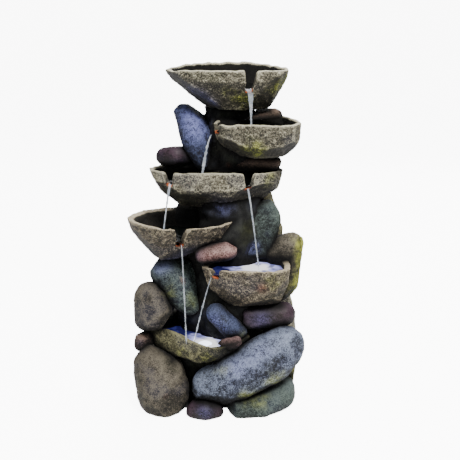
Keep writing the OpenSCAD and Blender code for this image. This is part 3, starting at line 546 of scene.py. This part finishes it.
def boulder_surface(node, rows, columns, chip_count, lumps, pecks, seed):
    """A star-shaped stone: along each direction from its middle, the nearest hull or chip plane.

    The poles lie on the longest axis. Rows are spread evenly over the length of the mean profile.
    """
    normals, offsets, outer = PLANES[node]
    offsets = offsets + HULL_SWELL
    middle = (outer.min(0) + outer.max(0)) / 4 + outer.mean(0) / 2
    axes = np.linalg.svd(outer - outer.mean(0), full_matrices=False)[2]
    long_axis, side = axes[0], axes[1]
    other = np.cross(long_axis, side)
    ways, depths = chips(normals, offsets, middle, chip_count, seed)
    faces = np.vstack([normals / (offsets - normals @ middle)[:, None], ways / depths[:, None]])

    def spin(polar, turn):
        """Unit directions from polar angles off the first pole and turns about the long axis."""
        polar, turn = polar[..., None], turn[..., None]
        return np.sin(polar) * (np.cos(turn) * side + np.sin(turn) * other) - np.cos(polar) * long_axis

    def reach(ways):
        """Distance from the middle to the nearest plane along each direction."""
        nearest = np.zeros(ways.shape[:-1])
        for face in faces:
            nearest = np.maximum(nearest, ways @ face)
        return 1 / nearest

    def full_turn(polar, count):
        """Directions at each polar angle, count of them round the long axis."""
        return spin(*np.meshgrid(polar, np.linspace(0, TAU, count, endpoint=False), indexing="ij"))

    fine = np.linspace(0, math.pi, 241)
    probe = full_turn(fine, 12)
    profile = probe * reach(probe)[..., None]
    length = np.linalg.norm(np.diff(profile, axis=0), axis=2).mean(1)
    along = np.concatenate([[0], np.cumsum(length)])
    polar = np.interp(np.linspace(POLE_GAP, 1 - POLE_GAP, rows) * along[-1], along, fine)
    ways = full_turn(polar, columns)
    grid = relax(middle + ways * reach(ways)[..., None], 5)
    grid, masks = carve(grid, node, lumps, pecks, seed)
    grid[..., 2] = np.maximum(grid[..., 2], outer[:, 2].min())
    return keep_clear(grid), masks


for seed, (name, (finish, rows, columns, chip_count, lumps, pecks)) in enumerate(BOULDERS.items()):
    slot, coat = FINISHES[finish]
    surface, masks = boulder_surface(name, rows, columns, chip_count, lumps, pecks, 100 + 7 * seed)
    boulder = grid_mesh("skin_" + name, surface, masks)
    boulder.data.materials.append(coat)
    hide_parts(name)


# ---------------- bowls
# Each bowl is cast in one piece like the boulders, with broad chiselled faces outside, a broken
# rim, a smoother inside painted near black (partly wet stone, partly painted shade), painted shade
# in its spout throats and rust round its spouts. They are bonded to the column like steps.

# Each bowl: finish, grid columns, wall and rim fall in millimetres, lumps, pecks, and its spouts as
# x, y, heading in degrees and drop in millimetres.
BOWLS = {
    "top_bowl": ("warm", 460, 5, 0, 1.1, 0.8, [(39, -38, -90, 23)]),
    "upper_bowl": ("warm", 420, 5, 0, 1.0, 0.8, [(0, -32, -160, 10)]),
    "middle_bowl": ("warm", 520, 5, 0, 1.0, 0.8, [(-51, -20, -110, 15), (37, -26, -85, 18)]),
    "left_bowl": ("tan", 480, 10, 3, 1.1, 0.9, [(-37, -50, -85, 22)]),
    "right_bowl": ("tan", 440, 7, 1, 1.1, 0.9, [(0, -46, -125, 11)]),
    "basin": ("olive", 440, 7, 1, 1.0, 0.9, [])}
# Broad faces chiselled on each bowl: turn and lean below level in degrees, and bite in millimetres.
CHISELLED = {
    "top_bowl": [(212, 52, 8), (258, 26, 3), (296, 40, 5), (335, 30, 5), (180, 22, 4)],
    "upper_bowl": [(228, 52, 6), (272, 16, 2), (305, 50, 5), (345, 20, 3)],
    "middle_bowl": [(228, 42, 7), (262, 50, 9), (295, 46, 11), (325, 25, 4), (190, 25, 4)],
    "left_bowl": [(212, 34, 4), (246, 20, 2), (285, 50, 6), (330, 24, 4)],
    "right_bowl": [(225, 44, 5), (268, 16, 2), (285, 54, 6), (322, 24, 4)],
    "basin": [(222, 34, 1), (262, 20, 1), (292, 48, 2)]}
# Where a rim stands up: x, y, radius and height in millimetres.
RIM_LIFTS = {"basin": (-66, -40, 24, 8)}
SMALL_FACES = 6
BOWL_FLOOR = 9 * MM
RIM_CHIP, CHIP_LENGTH = 2.4 * MM, 20 * MM
INSIDE_DRAFT = 2 * MM
SPOUT_TOP, SPOUT_LIP, SPOUT_LENGTH = 7.5 * MM, 3.6 * MM, 22 * MM
FOOT_SHARES, FLOOR_SHARES = (0.2, 0.5, 0.75, 0.92), (0.9, 0.7, 0.45, 0.2)
OUTSIDE_ROWS, RIM_ROWS, INSIDE_ROWS = 64, 6, 34


def heading(turn):
    """Unit ways in plan, at a turn from +x towards +y."""
    return np.stack([np.cos(turn), np.sin(turn)], -1)


def knock_faces(node, count, seed):
    """Adds a bowl's chiselled faces to its planes, and a count of small ones that bite 1.5 to 4 mm."""
    normals, offsets, outer = PLANES[node]
    rng = np.random.default_rng(seed)
    turn, lean, bite = rng.uniform(0, TAU, count), rng.uniform(0.1, 1.0, count), rng.uniform(1.5, 4.0, count)
    wide_turn, wide_lean, wide_bite = np.array(CHISELLED[node]).T
    turn = np.append(turn, np.radians(wide_turn))
    lean = np.append(lean, np.radians(wide_lean))
    ways = np.hstack([heading(turn) * np.cos(lean)[:, None], -np.sin(lean)[:, None]])
    depth = (outer @ ways.T).max(0) - np.append(bite, wide_bite) * MM
    PLANES[node] = np.vstack([normals, ways]), np.concatenate([offsets, depth]), outer


for seed, name in enumerate(BOWLS):
    knock_faces(name, SMALL_FACES, 700 + seed)


def bowl_axis(node):
    """The x and y of a bowl's upright axis: the mean of the corners of its foot."""
    outer = PLANES[node][2]
    return outer[outer[:, 2] < outer[:, 2].min() + MM, :2].mean(0)


def bowl_reach(node, axis, way, height):
    """Distance from a bowl's upright axis to its skin: for each way and height, the nearest hull plane."""
    normals, offsets, _ = PLANES[node]
    nearest = np.full(np.broadcast(way[..., 0], height).shape, 1.0)
    for normal, offset in zip(normals, offsets):
        facing = way @ normal[:2]
        room = (offset - normal[2] * height - axis @ normal[:2]) / np.where(facing > 0.02, facing, 1)
        nearest = np.minimum(nearest, np.where(facing > 0.02, room, 1.0))
    return nearest


def spout_cut(points, spouts, lip):
    """How far the rim drops at each point, and what share that is of the spout's whole drop.

    The drop eases to nothing from the lip's half width to the half width at the rim.
    """
    cut, share = np.zeros(len(points)), np.zeros(len(points))
    for x, y, degrees, drop in spouts:
        ahead = heading(math.radians(degrees))
        away = points[:, :2] - np.array([x, y]) * MM
        aside = np.abs(away @ (-ahead[1], ahead[0]))
        dip = (away @ ahead > -SPOUT_LENGTH) * (1 - smooth_step(lip, SPOUT_TOP, aside))
        cut = np.maximum(cut, drop * MM * dip)
        share = np.maximum(share, dip)
    return cut, share


def bowl_surface(node, columns, wall, fall, lumps, pecks, spouts, seed):
    """A bowl as one profile turned about an upright axis: foot, outside, rim, inside and floor.

    The outside lies on the hull's planes; the inside is the same shape less the wall. Columns crowd
    together at the spouts, where the rim dips.
    """
    wall, fall = wall * MM, fall * MM
    foot, rim = PLANES[node][2][:, 2].min(), PLANES[node][2][:, 2].max()
    axis = bowl_axis(node)
    fine = np.linspace(0, TAU, 2401)
    edge = axis + heading(fine) * bowl_reach(node, axis, heading(fine), np.array(rim))[:, None]
    crowd = 1 + 1.6 * (spout_cut(edge, spouts, SPOUT_TOP * 0.9)[1] > 0)
    steps = np.linalg.norm(np.diff(edge, axis=0), axis=1) * (crowd[1:] + crowd[:-1]) / 2
    along = np.concatenate([[0], np.cumsum(steps)])
    turn = np.interp(np.arange(columns) / columns * along[-1], along, fine)
    way = heading(turn)
    edge = axis + way * (bowl_reach(node, axis, way, np.array(rim)) - wall / 2)[:, None]
    cut, dip = spout_cut(edge, spouts, SPOUT_LIP)
    chip = RIM_CHIP * fractal(np.hstack([edge, np.full((columns, 1), rim)]), CHIP_LENGTH, 3, seed + 50)
    crest = rim - cut - np.where(cut > 0.5 * MM, 0, np.abs(chip))
    if node in RIM_LIFTS:
        x, y, spread, rise = np.array(RIM_LIFTS[node]) * MM
        crest = crest + rise * np.exp(-((edge - (x, y)) ** 2).sum(1) / spread ** 2)
    rows = []

    def ring(height, inward, share=1.0):
        """One row: the skin at a height, less an inward offset, drawn towards the axis by a share."""
        reach = (bowl_reach(node, axis, way, height) - inward) * share
        rows.append(np.concatenate([axis + way * reach[:, None], (height + 0 * turn)[:, None]], 1))

    for share in FOOT_SHARES:
        ring(np.array(foot), 0, share)
    for t in np.linspace(0, 1, OUTSIDE_ROWS):
        ring(foot + (crest - foot) * t, 0)
    for t in np.linspace(0.12, 0.88, RIM_ROWS):
        ring(crest + 0.4 * MM * math.sin(math.pi * t) - fall * t, wall * t)
    for t in np.linspace(0, 1, INSIDE_ROWS):
        ring(crest - fall + (foot + BOWL_FLOOR - crest + fall) * t, wall + INSIDE_DRAFT * t)
    for share in FLOOR_SHARES:
        ring(np.array(foot + BOWL_FLOOR), wall + INSIDE_DRAFT, share)
    inside = np.concatenate([np.zeros(len(FOOT_SHARES) + OUTSIDE_ROWS), np.linspace(0, 1, RIM_ROWS),
                             np.ones(INSIDE_ROWS + len(FLOOR_SHARES))])
    inside = np.repeat(inside, columns)
    grid, masks = carve(relax(np.array(rows), 3), node, lumps, pecks, seed,
                        1 - 0.75 * inside.reshape(-1, columns))
    dip = np.tile(dip, len(rows))
    below = (np.tile(crest, len(rows)) - grid[..., 2].ravel()) / MM
    hidden = inside > 0.05
    throat = smooth_step(0.03, 0.2, dip) * hidden
    lip = np.exp(-(below / np.where(hidden, 7.0, 1.6)) ** 2)
    masks["rust"] = masks["rust"] + 1.1 * smooth_step(0.8, 0.97, dip) * lip
    # The inside goes near black, partly wet stone and partly painted shade; the sides of a spout's throat get
    # painted shade.
    deep = 0.95 * smooth_step(0.5, 1, inside) * smooth_step(-0.5, 3.0, below)
    shade = 0.62 * throat * (1 - 0.85 * smooth_step(0.8, 0.97, dip) * lip)
    masks["crevice_shade"] = np.maximum(masks["crevice_shade"], np.maximum(deep * (1 - 0.6 * throat * lip), shade))
    return grid, masks


for seed, (name, (finish, columns, wall, fall, lumps, pecks, spouts)) in enumerate(BOWLS.items()):
    slot, coat = FINISHES[finish]
    surface, masks = bowl_surface(name, columns, wall, fall, lumps, pecks, spouts, 400 + 9 * seed)
    bowl = grid_mesh("skin_" + name, surface, masks)
    bowl.data.materials.append(coat)
    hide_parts(name)

# ---------------- core column
# The hollow core is cast with the base box and the tower for the cover. A dark rough facing of
# the same resin is trowelled over it between the boulders, all round except at the rear cover; its
# near-black paint is painted shade for the gaps between the boulders.
riser_axis = sum(box_of("riser_tube"))[:2] / 2
BOX_TOP = 70 * MM
TOWER_TOP = cover_high[2] + 18 * MM
CONE_FOOT, CONE_TOP = 44 * MM, 24 * MM
FACING_ROWS, FACING_COLUMNS = 330, 260
FACING_THICK, FACING_BACK = 2.2 * MM, 1.0 * MM
FACING_SHAPE, FACING_SHAPE_LENGTH = 4.2 * MM, 24 * MM
FACING_STONY, FACING_STONY_LENGTH = 2.6 * MM, 7 * MM
# Thick places in the facing: turn in degrees, height, spread and thickness in millimetres.
FACING_LUMPS = [
    (190, 122, 22, 12), (178, 172, 22, 11), (210, 255, 20, 10), (235, 205, 20, 8), (320, 240, 20, 8),
    (300, 110, 18, 8), (330, 300, 20, 5), (160, 300, 22, 8), (20, 260, 24, 9), (60, 310, 20, 8),
    (120, 280, 22, 8), (15, 150, 22, 8), (90, 200, 24, 8), (262, 48, 17, 34), (186, 92, 24, 16),
    (305, 60, 20, 16), (250, 125, 16, 8), (262, 96, 20, 10), (282, 128, 18, 9), (268, 196, 20, 9),
    (295, 210, 20, 8), (240, 262, 18, 8), (275, 305, 18, 6), (250, 330, 18, 7)]


def facing_reach(turn, height):
    """Distance from the riser's axis to the core's outside: its cone, tower or base box."""
    way = heading(turn)

    def room(axis, wall):
        """Distance to an upright wall across one axis, or 1 m where the way leads from it."""
        span = wall[axis] - riser_axis[axis]
        towards = way[..., axis] * np.sign(span)
        return np.where(towards > 1e-6, np.abs(span) / np.maximum(towards, 1e-6), 1.0)

    right, back = room(0, core_high), room(1, core_high)
    cone = CONE_FOOT + (CONE_TOP - CONE_FOOT) * (height - BOX_TOP) / (core_high[2] - BOX_TOP)
    cone = np.minimum.reduce([cone, right, back])
    tower = np.minimum.reduce([room(0, cover_low), room(0, cover_high), back]) * (way[..., 1] > 0)
    base = np.minimum.reduce([room(0, core_low), right, room(1, core_low), back])
    return np.where(height < BOX_TOP, base, np.maximum(cone, np.where(height < TOWER_TOP, tower, 0)))


turn, height = np.meshgrid(np.linspace(0, TAU, FACING_COLUMNS, endpoint=False),
                           np.linspace(5 * MM, core_high[2] - MM, FACING_ROWS // 2))
reach = facing_reach(turn, height)
thick = np.full(turn.shape, FACING_THICK)
for degrees, middle, spread, extra in FACING_LUMPS:
    aside = np.abs((turn - math.radians(degrees) + math.pi) % TAU - math.pi) * reach
    thick += extra * MM * np.exp(-(aside ** 2 + (height - middle * MM) ** 2) / (spread * MM) ** 2)
way = np.concatenate([heading(turn), 0 * turn[..., None]], -1)
axis_points = np.concatenate([0 * way[..., :2] + riser_axis, height[..., None]], -1)
outside = relax(axis_points + way * (reach + thick)[..., None], 2)
shape = fractal(outside.reshape(-1, 3), FACING_SHAPE_LENGTH, 3, 900).reshape(turn.shape)
stony = fractal(outside.reshape(-1, 3), FACING_STONY_LENGTH, 3, 930).reshape(turn.shape)
outside = keep_clear(outside + way * (FACING_SHAPE * shape + FACING_STONY * stony)[..., None])
inside = axis_points + way * (reach - FACING_BACK)[..., None]
facing_grid = np.concatenate([outside, inside[::-1]])
flat = facing_grid.reshape(-1, 3)
# Painted shade near other castings, at least 0.3 all over the facing.
facing_masks = {"relief": np.clip(0.5 + 0.9 * np.concatenate([stony, 0 * stony]).ravel(), 0, 1),
                "crevice_shade": np.maximum(closeness(flat, "core_column", 7 * MM), 0.3)}
lean = np.concatenate([grid_normals(outside)[..., 2], 0 * turn]).ravel()
facing_masks["ridge"] = facing_masks["relief"]
facing_masks["skyward"] = 0.5 + 0.5 * lean
for kind in SPRAY:
    facing_masks[kind] = sprayed(flat, kind)
facing = grid_mesh("core_facing", facing_grid, facing_masks, looped=True)
facing.data.materials.append(FINISHES["dark"][1])


def finish_node(name, coat):
    """Gives every material slot of a CAD node one material."""
    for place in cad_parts[name].material_slots:
        place.material = coat


bare_stone = stone_material("bare_dark_stone", "#2a2c2b", "#686c66", "#0a0a0a", 0.4, uncarved=1.0)
finish_node("core_column", bare_stone)

# ---------------- water
# Recirculated water stands in the bowls, wells up over the two lights and falls from each spout
# in a stream that starts as a sheet, draws together and breaks into beads.
WOBBLE = 22 * MM


def water_material(name, colour, clear, rough):
    """Water of two streaked colours, clear by a share, and rougher in its streaks."""
    made, tree, bsdf = new_material(name)
    bsdf.inputs["Transmission Weight"].default_value = clear
    bsdf.inputs["IOR"].default_value = 1.333
    streak = noise(tree, add(tree, "TexCoord").outputs["Object"], 160.0)
    colour = turned(tree, colour[0], colour[1], streak, 0.3, 0.7)
    tree.links.new(colour, bsdf.inputs["Base Color"])
    tree.links.new(scaled(tree, streak, rough, 0.02), bsdf.inputs["Roughness"])
    ripple = add(tree, "Bump", {"Strength": 0.5, "Distance": 0.4 * MM, "Height": streak})
    tree.links.new(ripple.outputs["Normal"], bsdf.inputs["Normal"])
    return made, tree, bsdf


def lit_water_material(name, middle, spread):
    """Water over a light: white over the lens, then blue in a caustic net, then dark."""
    made, tree, bsdf = water_material(name, ("#0a0b18", "#12142a"), 0.1, 0.1)
    place = add(tree, "TexCoord").outputs["Object"]
    away = add(tree, "VectorMath", {0: place, 1: middle}, operation="DISTANCE").outputs["Value"]
    away = scaled(tree, noise(tree, place, 90.0, 2.0), WOBBLE, scaled(tree, away, 1.0, -WOBBLE / 2))
    net = add(tree, "TexVoronoi", {"Vector": place, "Scale": 120.0}, feature="SMOOTH_F1").outputs["Distance"]
    glow = turned(tree, "#fdfcff", "#aeb0ea", away, 0.7 * spread, 1.25 * spread)
    glow = turned(tree, glow, "#12123a", away, 1.1 * spread, 2.1 * spread)
    lines = scaled(tree, window(tree, net, 0.34, 0.6), window(tree, away, 0.5 * spread, 1.1 * spread))
    glow = mixed(tree, scaled(tree, lines, 0.7), glow, "#26285c")
    tree.links.new(glow, bsdf.inputs["Emission Color"])
    bsdf.inputs["Emission Strength"].default_value = 1.6
    return made


still_water, _, still_shader = water_material("still_water", ("#0c0e0d", "#161a18"), 0.45, 0.08)
still_shader.inputs["Specular IOR Level"].default_value = 0.25
falling_water, _, falling_shader = water_material("falling_water", ("#c8d2de", "#ffffff"), 0.8, 0.25)
# Falling water: a faint blue-white emission, a painted glow that brightens the streams.
falling_shader.inputs["Emission Color"].default_value = (0.75, 0.85, 1.0, 1.0)
falling_shader.inputs["Emission Strength"].default_value = 0.1

# Each pool: depth of the water under the rim in millimetres, ripple centres x, y, and its light.
POOLS = {
    "top_bowl": (22, [(16, 24), (39, -30)], None), "upper_bowl": (9, [(40, -36)], None),
    "middle_bowl": (14, [(-15, -12), (-48, -14)], None), "left_bowl": (18, [(-58, -34)], None),
    "right_bowl": (7, [(50, -34)], "bowl_light_lens"),
    "basin": (8, [(-33, -44), (-26, -46)], "basin_light_lens")}
POOL_ROWS, POOL_COLUMNS = 70, 220
POOL_DEPTH, LIT_SPREAD = 1.5 * MM, 17 * MM
RIPPLE, RIPPLE_LENGTH, RIPPLE_FADE = 0.55 * MM, 6.5 * MM, 14 * MM


def out_and_back(rows):
    """Shares of a closed disc's reach, row by row: out over its underside and back over its top."""
    out = np.linspace(0.02, 1, rows // 2)
    return np.concatenate([out, out[::-1]])[:, None], (np.arange(rows) >= rows // 2)[:, None]


share, top = out_and_back(POOL_ROWS)
way = heading(np.linspace(0, TAU, POOL_COLUMNS, endpoint=False))
for name, (under, drops, lamp) in POOLS.items():
    level = PLANES[name][2][:, 2].max() - under * MM
    axis = bowl_axis(name)
    edge = bowl_reach(name, axis, way, np.array(level)) - 0.6 * BOWLS[name][2] * MM
    flat = axis + way[None] * (edge * share)[..., None]
    swell = np.zeros(flat.shape[:2])
    for drop in drops:
        away = np.linalg.norm(flat - np.array(drop) * MM, axis=2)
        swell += RIPPLE * np.cos(away * TAU / RIPPLE_LENGTH) * np.exp(-away / RIPPLE_FADE)
    pool_grid = np.concatenate([flat, (level + np.where(top, swell, -POOL_DEPTH))[..., None]], 2)
    pool = grid_mesh("water_in_" + name, pool_grid, {})
    if lamp:
        lamp_x, lamp_y = sum(box_of(lamp))[:2] / 2
        coat = lit_water_material("lit_water_" + name, (lamp_x, lamp_y, level), LIT_SPREAD)
    else:
        coat = still_water
    pool.data.materials.append(coat)


BEAD_LENGTH = 3.5 * MM
STREAM_SHIVER, SHIVER_LENGTH = 0.25 * MM, 2.4 * MM


def stream_surface(start, end, push, widths, beads, seed, rows=150, columns=14):
    """A falling stream: a tube on a falling curve, flat and wide at the lip and narrowing as it falls.

    Along t from 0 to 1 the way sideways is t^push and the drop is t^2; beads swell it near the end.
    """
    start, end = np.array(start) * MM, np.array(end) * MM
    t = np.linspace(0, 1, rows)[:, None]
    path = start + (end - start) * np.hstack([t ** push, t ** push, t ** 2])
    tangent = np.gradient(path, axis=0)
    tangent /= np.linalg.norm(tangent, axis=1)[:, None]
    aside = np.cross(tangent, np.cross([0, 0, 1], end - start) + [1e-4, 0, 0])
    aside = np.cross(tangent, aside / np.linalg.norm(aside, axis=1)[:, None])
    depth = np.cross(tangent, aside)
    knot = value_noise(path / BEAD_LENGTH + seed, seed)[:, None] * beads * t
    drawn = np.clip(1.7 * t ** 2, 0, 1) ** 0.6
    wide = (widths[0] + (widths[1] - widths[0]) * drawn) * MM * (1 + knot)
    thin = (0.3 * widths[0] + (widths[1] - 0.3 * widths[0]) * drawn) * MM * (1 + knot)
    ring = np.linspace(0, TAU, columns, endpoint=False)
    grid = (path[:, None] + aside[:, None] * (np.cos(ring)[None, :, None] * wide[:, None])
            + depth[:, None] * (np.sin(ring)[None, :, None] * thin[:, None]))
    shiver = STREAM_SHIVER * value_noise(grid.reshape(-1, 3) / SHIVER_LENGTH, seed + 3)
    return grid + shiver.reshape(rows, columns, 1) * aside[:, None]


# Each stream: start and end in millimetres, sideways push, half widths at the lip and below, beads.
STREAMS = {
    "stream_top": ((39, -31, 375), (40, -36, 331), 1.6, (4.6, 1.0), 0.3),
    "stream_slab": ((-3, -30, 326), (-15, -19, 273), 1.3, (0.6, 1.5), 0.6),
    "stream_middle_left": ((-50, -22, 269), (-58, -34, 214), 1.7, (1.8, 0.8), 0.4),
    "stream_middle_right": ((37, -27, 265), (50, -36, 170), 1.7, (1.8, 0.7), 0.4),
    "stream_left": ((-37, -47, 205), (-33, -46, 82), 1.6, (1.8, 0.75), 0.45),
    "stream_right": ((-4, -50, 168), (-26, -48, 82), 1.75, (1.3, 0.7), 0.8)}
for seed, (name, (start, end, push, widths, beads)) in enumerate(STREAMS.items()):
    stream = grid_mesh(name, stream_surface(start, end, push, widths, beads, 60 + seed), {})
    stream.data.materials.append(falling_water)


# ---------------- rear cover
# The cover is a cast plate with a lip that fits the window in the tower. A carved facing like the
# core's is bonded on it, cut away round the four captive screws. It slides off backwards.
cover_middle = (cover_low + cover_high) / 2
cover_half = (cover_high - cover_low) / 2 - 0.4 * MM
cover_rows, cover_columns = 60, 260
screw_low, screw_high = box_of("cover_screws")
head_radius, screw_room = 2.9 * MM, 5.5 * MM
turn = np.linspace(0, TAU, cover_columns, endpoint=False) + TAU / 8
square = 1 / np.maximum(np.abs(np.cos(turn)), np.abs(np.sin(turn)))
share, top = out_and_back(cover_rows)
plan_x = cover_middle[0] - cover_half[0] * np.cos(turn) * square * share
plan_z = cover_middle[2] + cover_half[2] * np.sin(turn) * square * share
plan = np.stack([plan_x, 0 * plan_x, plan_z], -1)
rough = fractal(plan.reshape(-1, 3), 16 * MM, 3, 950).reshape(plan_x.shape)
thick = (1.3 + 1.2 * rough) * MM
for screw_x in (screw_low[0] + head_radius, screw_high[0] - head_radius):
    for screw_z in (screw_low[2] + head_radius, screw_high[2] - head_radius):
        away = np.hypot(plan_x - screw_x, plan_z - screw_z)
        thick = np.where(away < screw_room, -0.6 * MM, thick)
cover_grid = np.stack([plan_x, cover_high[1] + np.where(top, thick, -2 * MM), plan_z], -1)
flat = cover_grid.reshape(-1, 3)
cover_masks = {"relief": np.clip(0.5 + 0.8 * rough.ravel(), 0, 1),
               "ridge": np.clip(0.5 + 0.6 * rough.ravel(), 0, 1),
               "skyward": np.full(len(flat), 0.5), "moss": sprayed(flat, "moss")}
cover_skin = grid_mesh("cover_facing", cover_grid, cover_masks, body="cover")
cover_skin.data.materials.append(FINISHES["grey"][1])
finish_node("rear_cover", bare_stone)


# ---------------- moulded parts
# The plate, tub, pump housings, nozzle, light housings and inlet are injection moulded in black
# plastic; pads, seal, suction cups and the sheaths of the leads are rubber or soft vinyl.
def moulding_group():
    """Moulded grain: fine pitting, soft flow marks and pale scuffs."""
    tree, given, out = new_group("moulded_grain", {
        "Colour": "Color", "Scuff": "Color", "Wear": "Float", "Gloss": "Float"}, COAT)
    place = add(tree, "TexCoord").outputs["Object"]
    grain = noise(tree, place, 1800.0, 2.0)
    flow = noise(tree, place, 60.0, 3.0)
    scuff = window(tree, noise(tree, place, 240.0, 5.0, 0.8), 0.58, 0.72)
    colour = mixed(tree, scaled(tree, flow, 0.25), given["Colour"], given["Scuff"])
    colour = mixed(tree, scaled(tree, scuff, given["Wear"]), colour, given["Scuff"])
    tree.links.new(colour, out["Color"])
    rough = scaled(tree, given["Gloss"], -1.0, scaled(tree, flow, 0.3, 0.6))
    tree.links.new(scaled(tree, scuff, 0.2, rough), out["Roughness"])
    tree.links.new(scaled(tree, scuff, 0.3, grain), out["Height"])
    return tree


MOULDED_GRAIN = moulding_group()


def moulded_material(name, colour, scuff, wear=0.3, gloss=0.25, grain=0.3, **fixed):
    """A moulded, turned or drawn part; fixed holds the shader's own values by socket name."""
    made, bsdf = coated_material(name, MOULDED_GRAIN, {
        "Colour": colour, "Scuff": scuff, "Wear": wear, "Gloss": gloss}, grain, 0.15 * MM)
    for label, value in fixed.items():
        bsdf.inputs[label.replace("_", " ")].default_value = value
    return made


black_plastic = moulded_material("black_plastic", "#191a1c", "#4c4e50")
grey_plastic = moulded_material("grey_plastic", "#2b2e31", "#5d6164")
soft_rubber = moulded_material("soft_rubber", "#101011", "#38393a", 0.4, 0.0, 0.6)
vinyl_sheath = moulded_material("vinyl_sheath", "#141415", "#3a3b3c", 0.15, 0.3, 0.2)
for name in ("base_plate", "pump_body", "volute_cover", "power_jack", "junction_block", "top_nozzle",
             "nozzle_nut"):
    finish_node(name, black_plastic)
for name in ("reservoir_tub", "inlet_grille", "bowl_light", "basin_light"):
    finish_node(name, grey_plastic)
for name in ("foot_pads", "pump_seal", "pump_feet"):
    finish_node(name, soft_rubber)
for name in ("pump_lead", "bowl_light_lead", "basin_light_lead"):
    finish_node(name, vinyl_sheath)

# ---------------- pump works, tube and fasteners
# The rotor is a coated magnet on a ceramic shaft, the dial an orange moulding, the riser a clear
# hose and the cover screws plated steel.
finish_node("pump_rotor", moulded_material("rotor_magnet", "#2a3850", "#60708a", 0.3, 0.3))
finish_node("pump_shaft", moulded_material("ceramic_shaft", "#dedad0", "#b5b1a6", 0.1, 0.45, 0.1))
finish_node("flow_dial", moulded_material("dial_orange", "#b8441f", "#d98a66", 0.2, 0.3))
finish_node("cover_screws", moulded_material("screw_steel", "#9b9da0", "#c9cacc", 0.5, 0.3, 0.5,
                                             Metallic=1.0))
finish_node("riser_tube", moulded_material("clear_hose", "#cfdadd", "#eef3f4", 0.1, 0.5, 0.1,
                                           Transmission_Weight=0.85, IOR=1.45))

# ---------------- lights
# Two sealed lights stand on the floors of the right bowl and the basin, each with a frosted lens
# pressed into a black housing.
for name in ("bowl_light_lens", "basin_light_lens"):
    finish_node(name, moulded_material(name.replace("lens", "frost"), "#dfe8ff", "#ffffff", 0.1, 0.4, 0.1,
                                       Transmission_Weight=0.4, IOR=1.49, Emission_Strength=3.0,
                                       Emission_Color=(0.72, 0.8, 1.0, 1.0)))
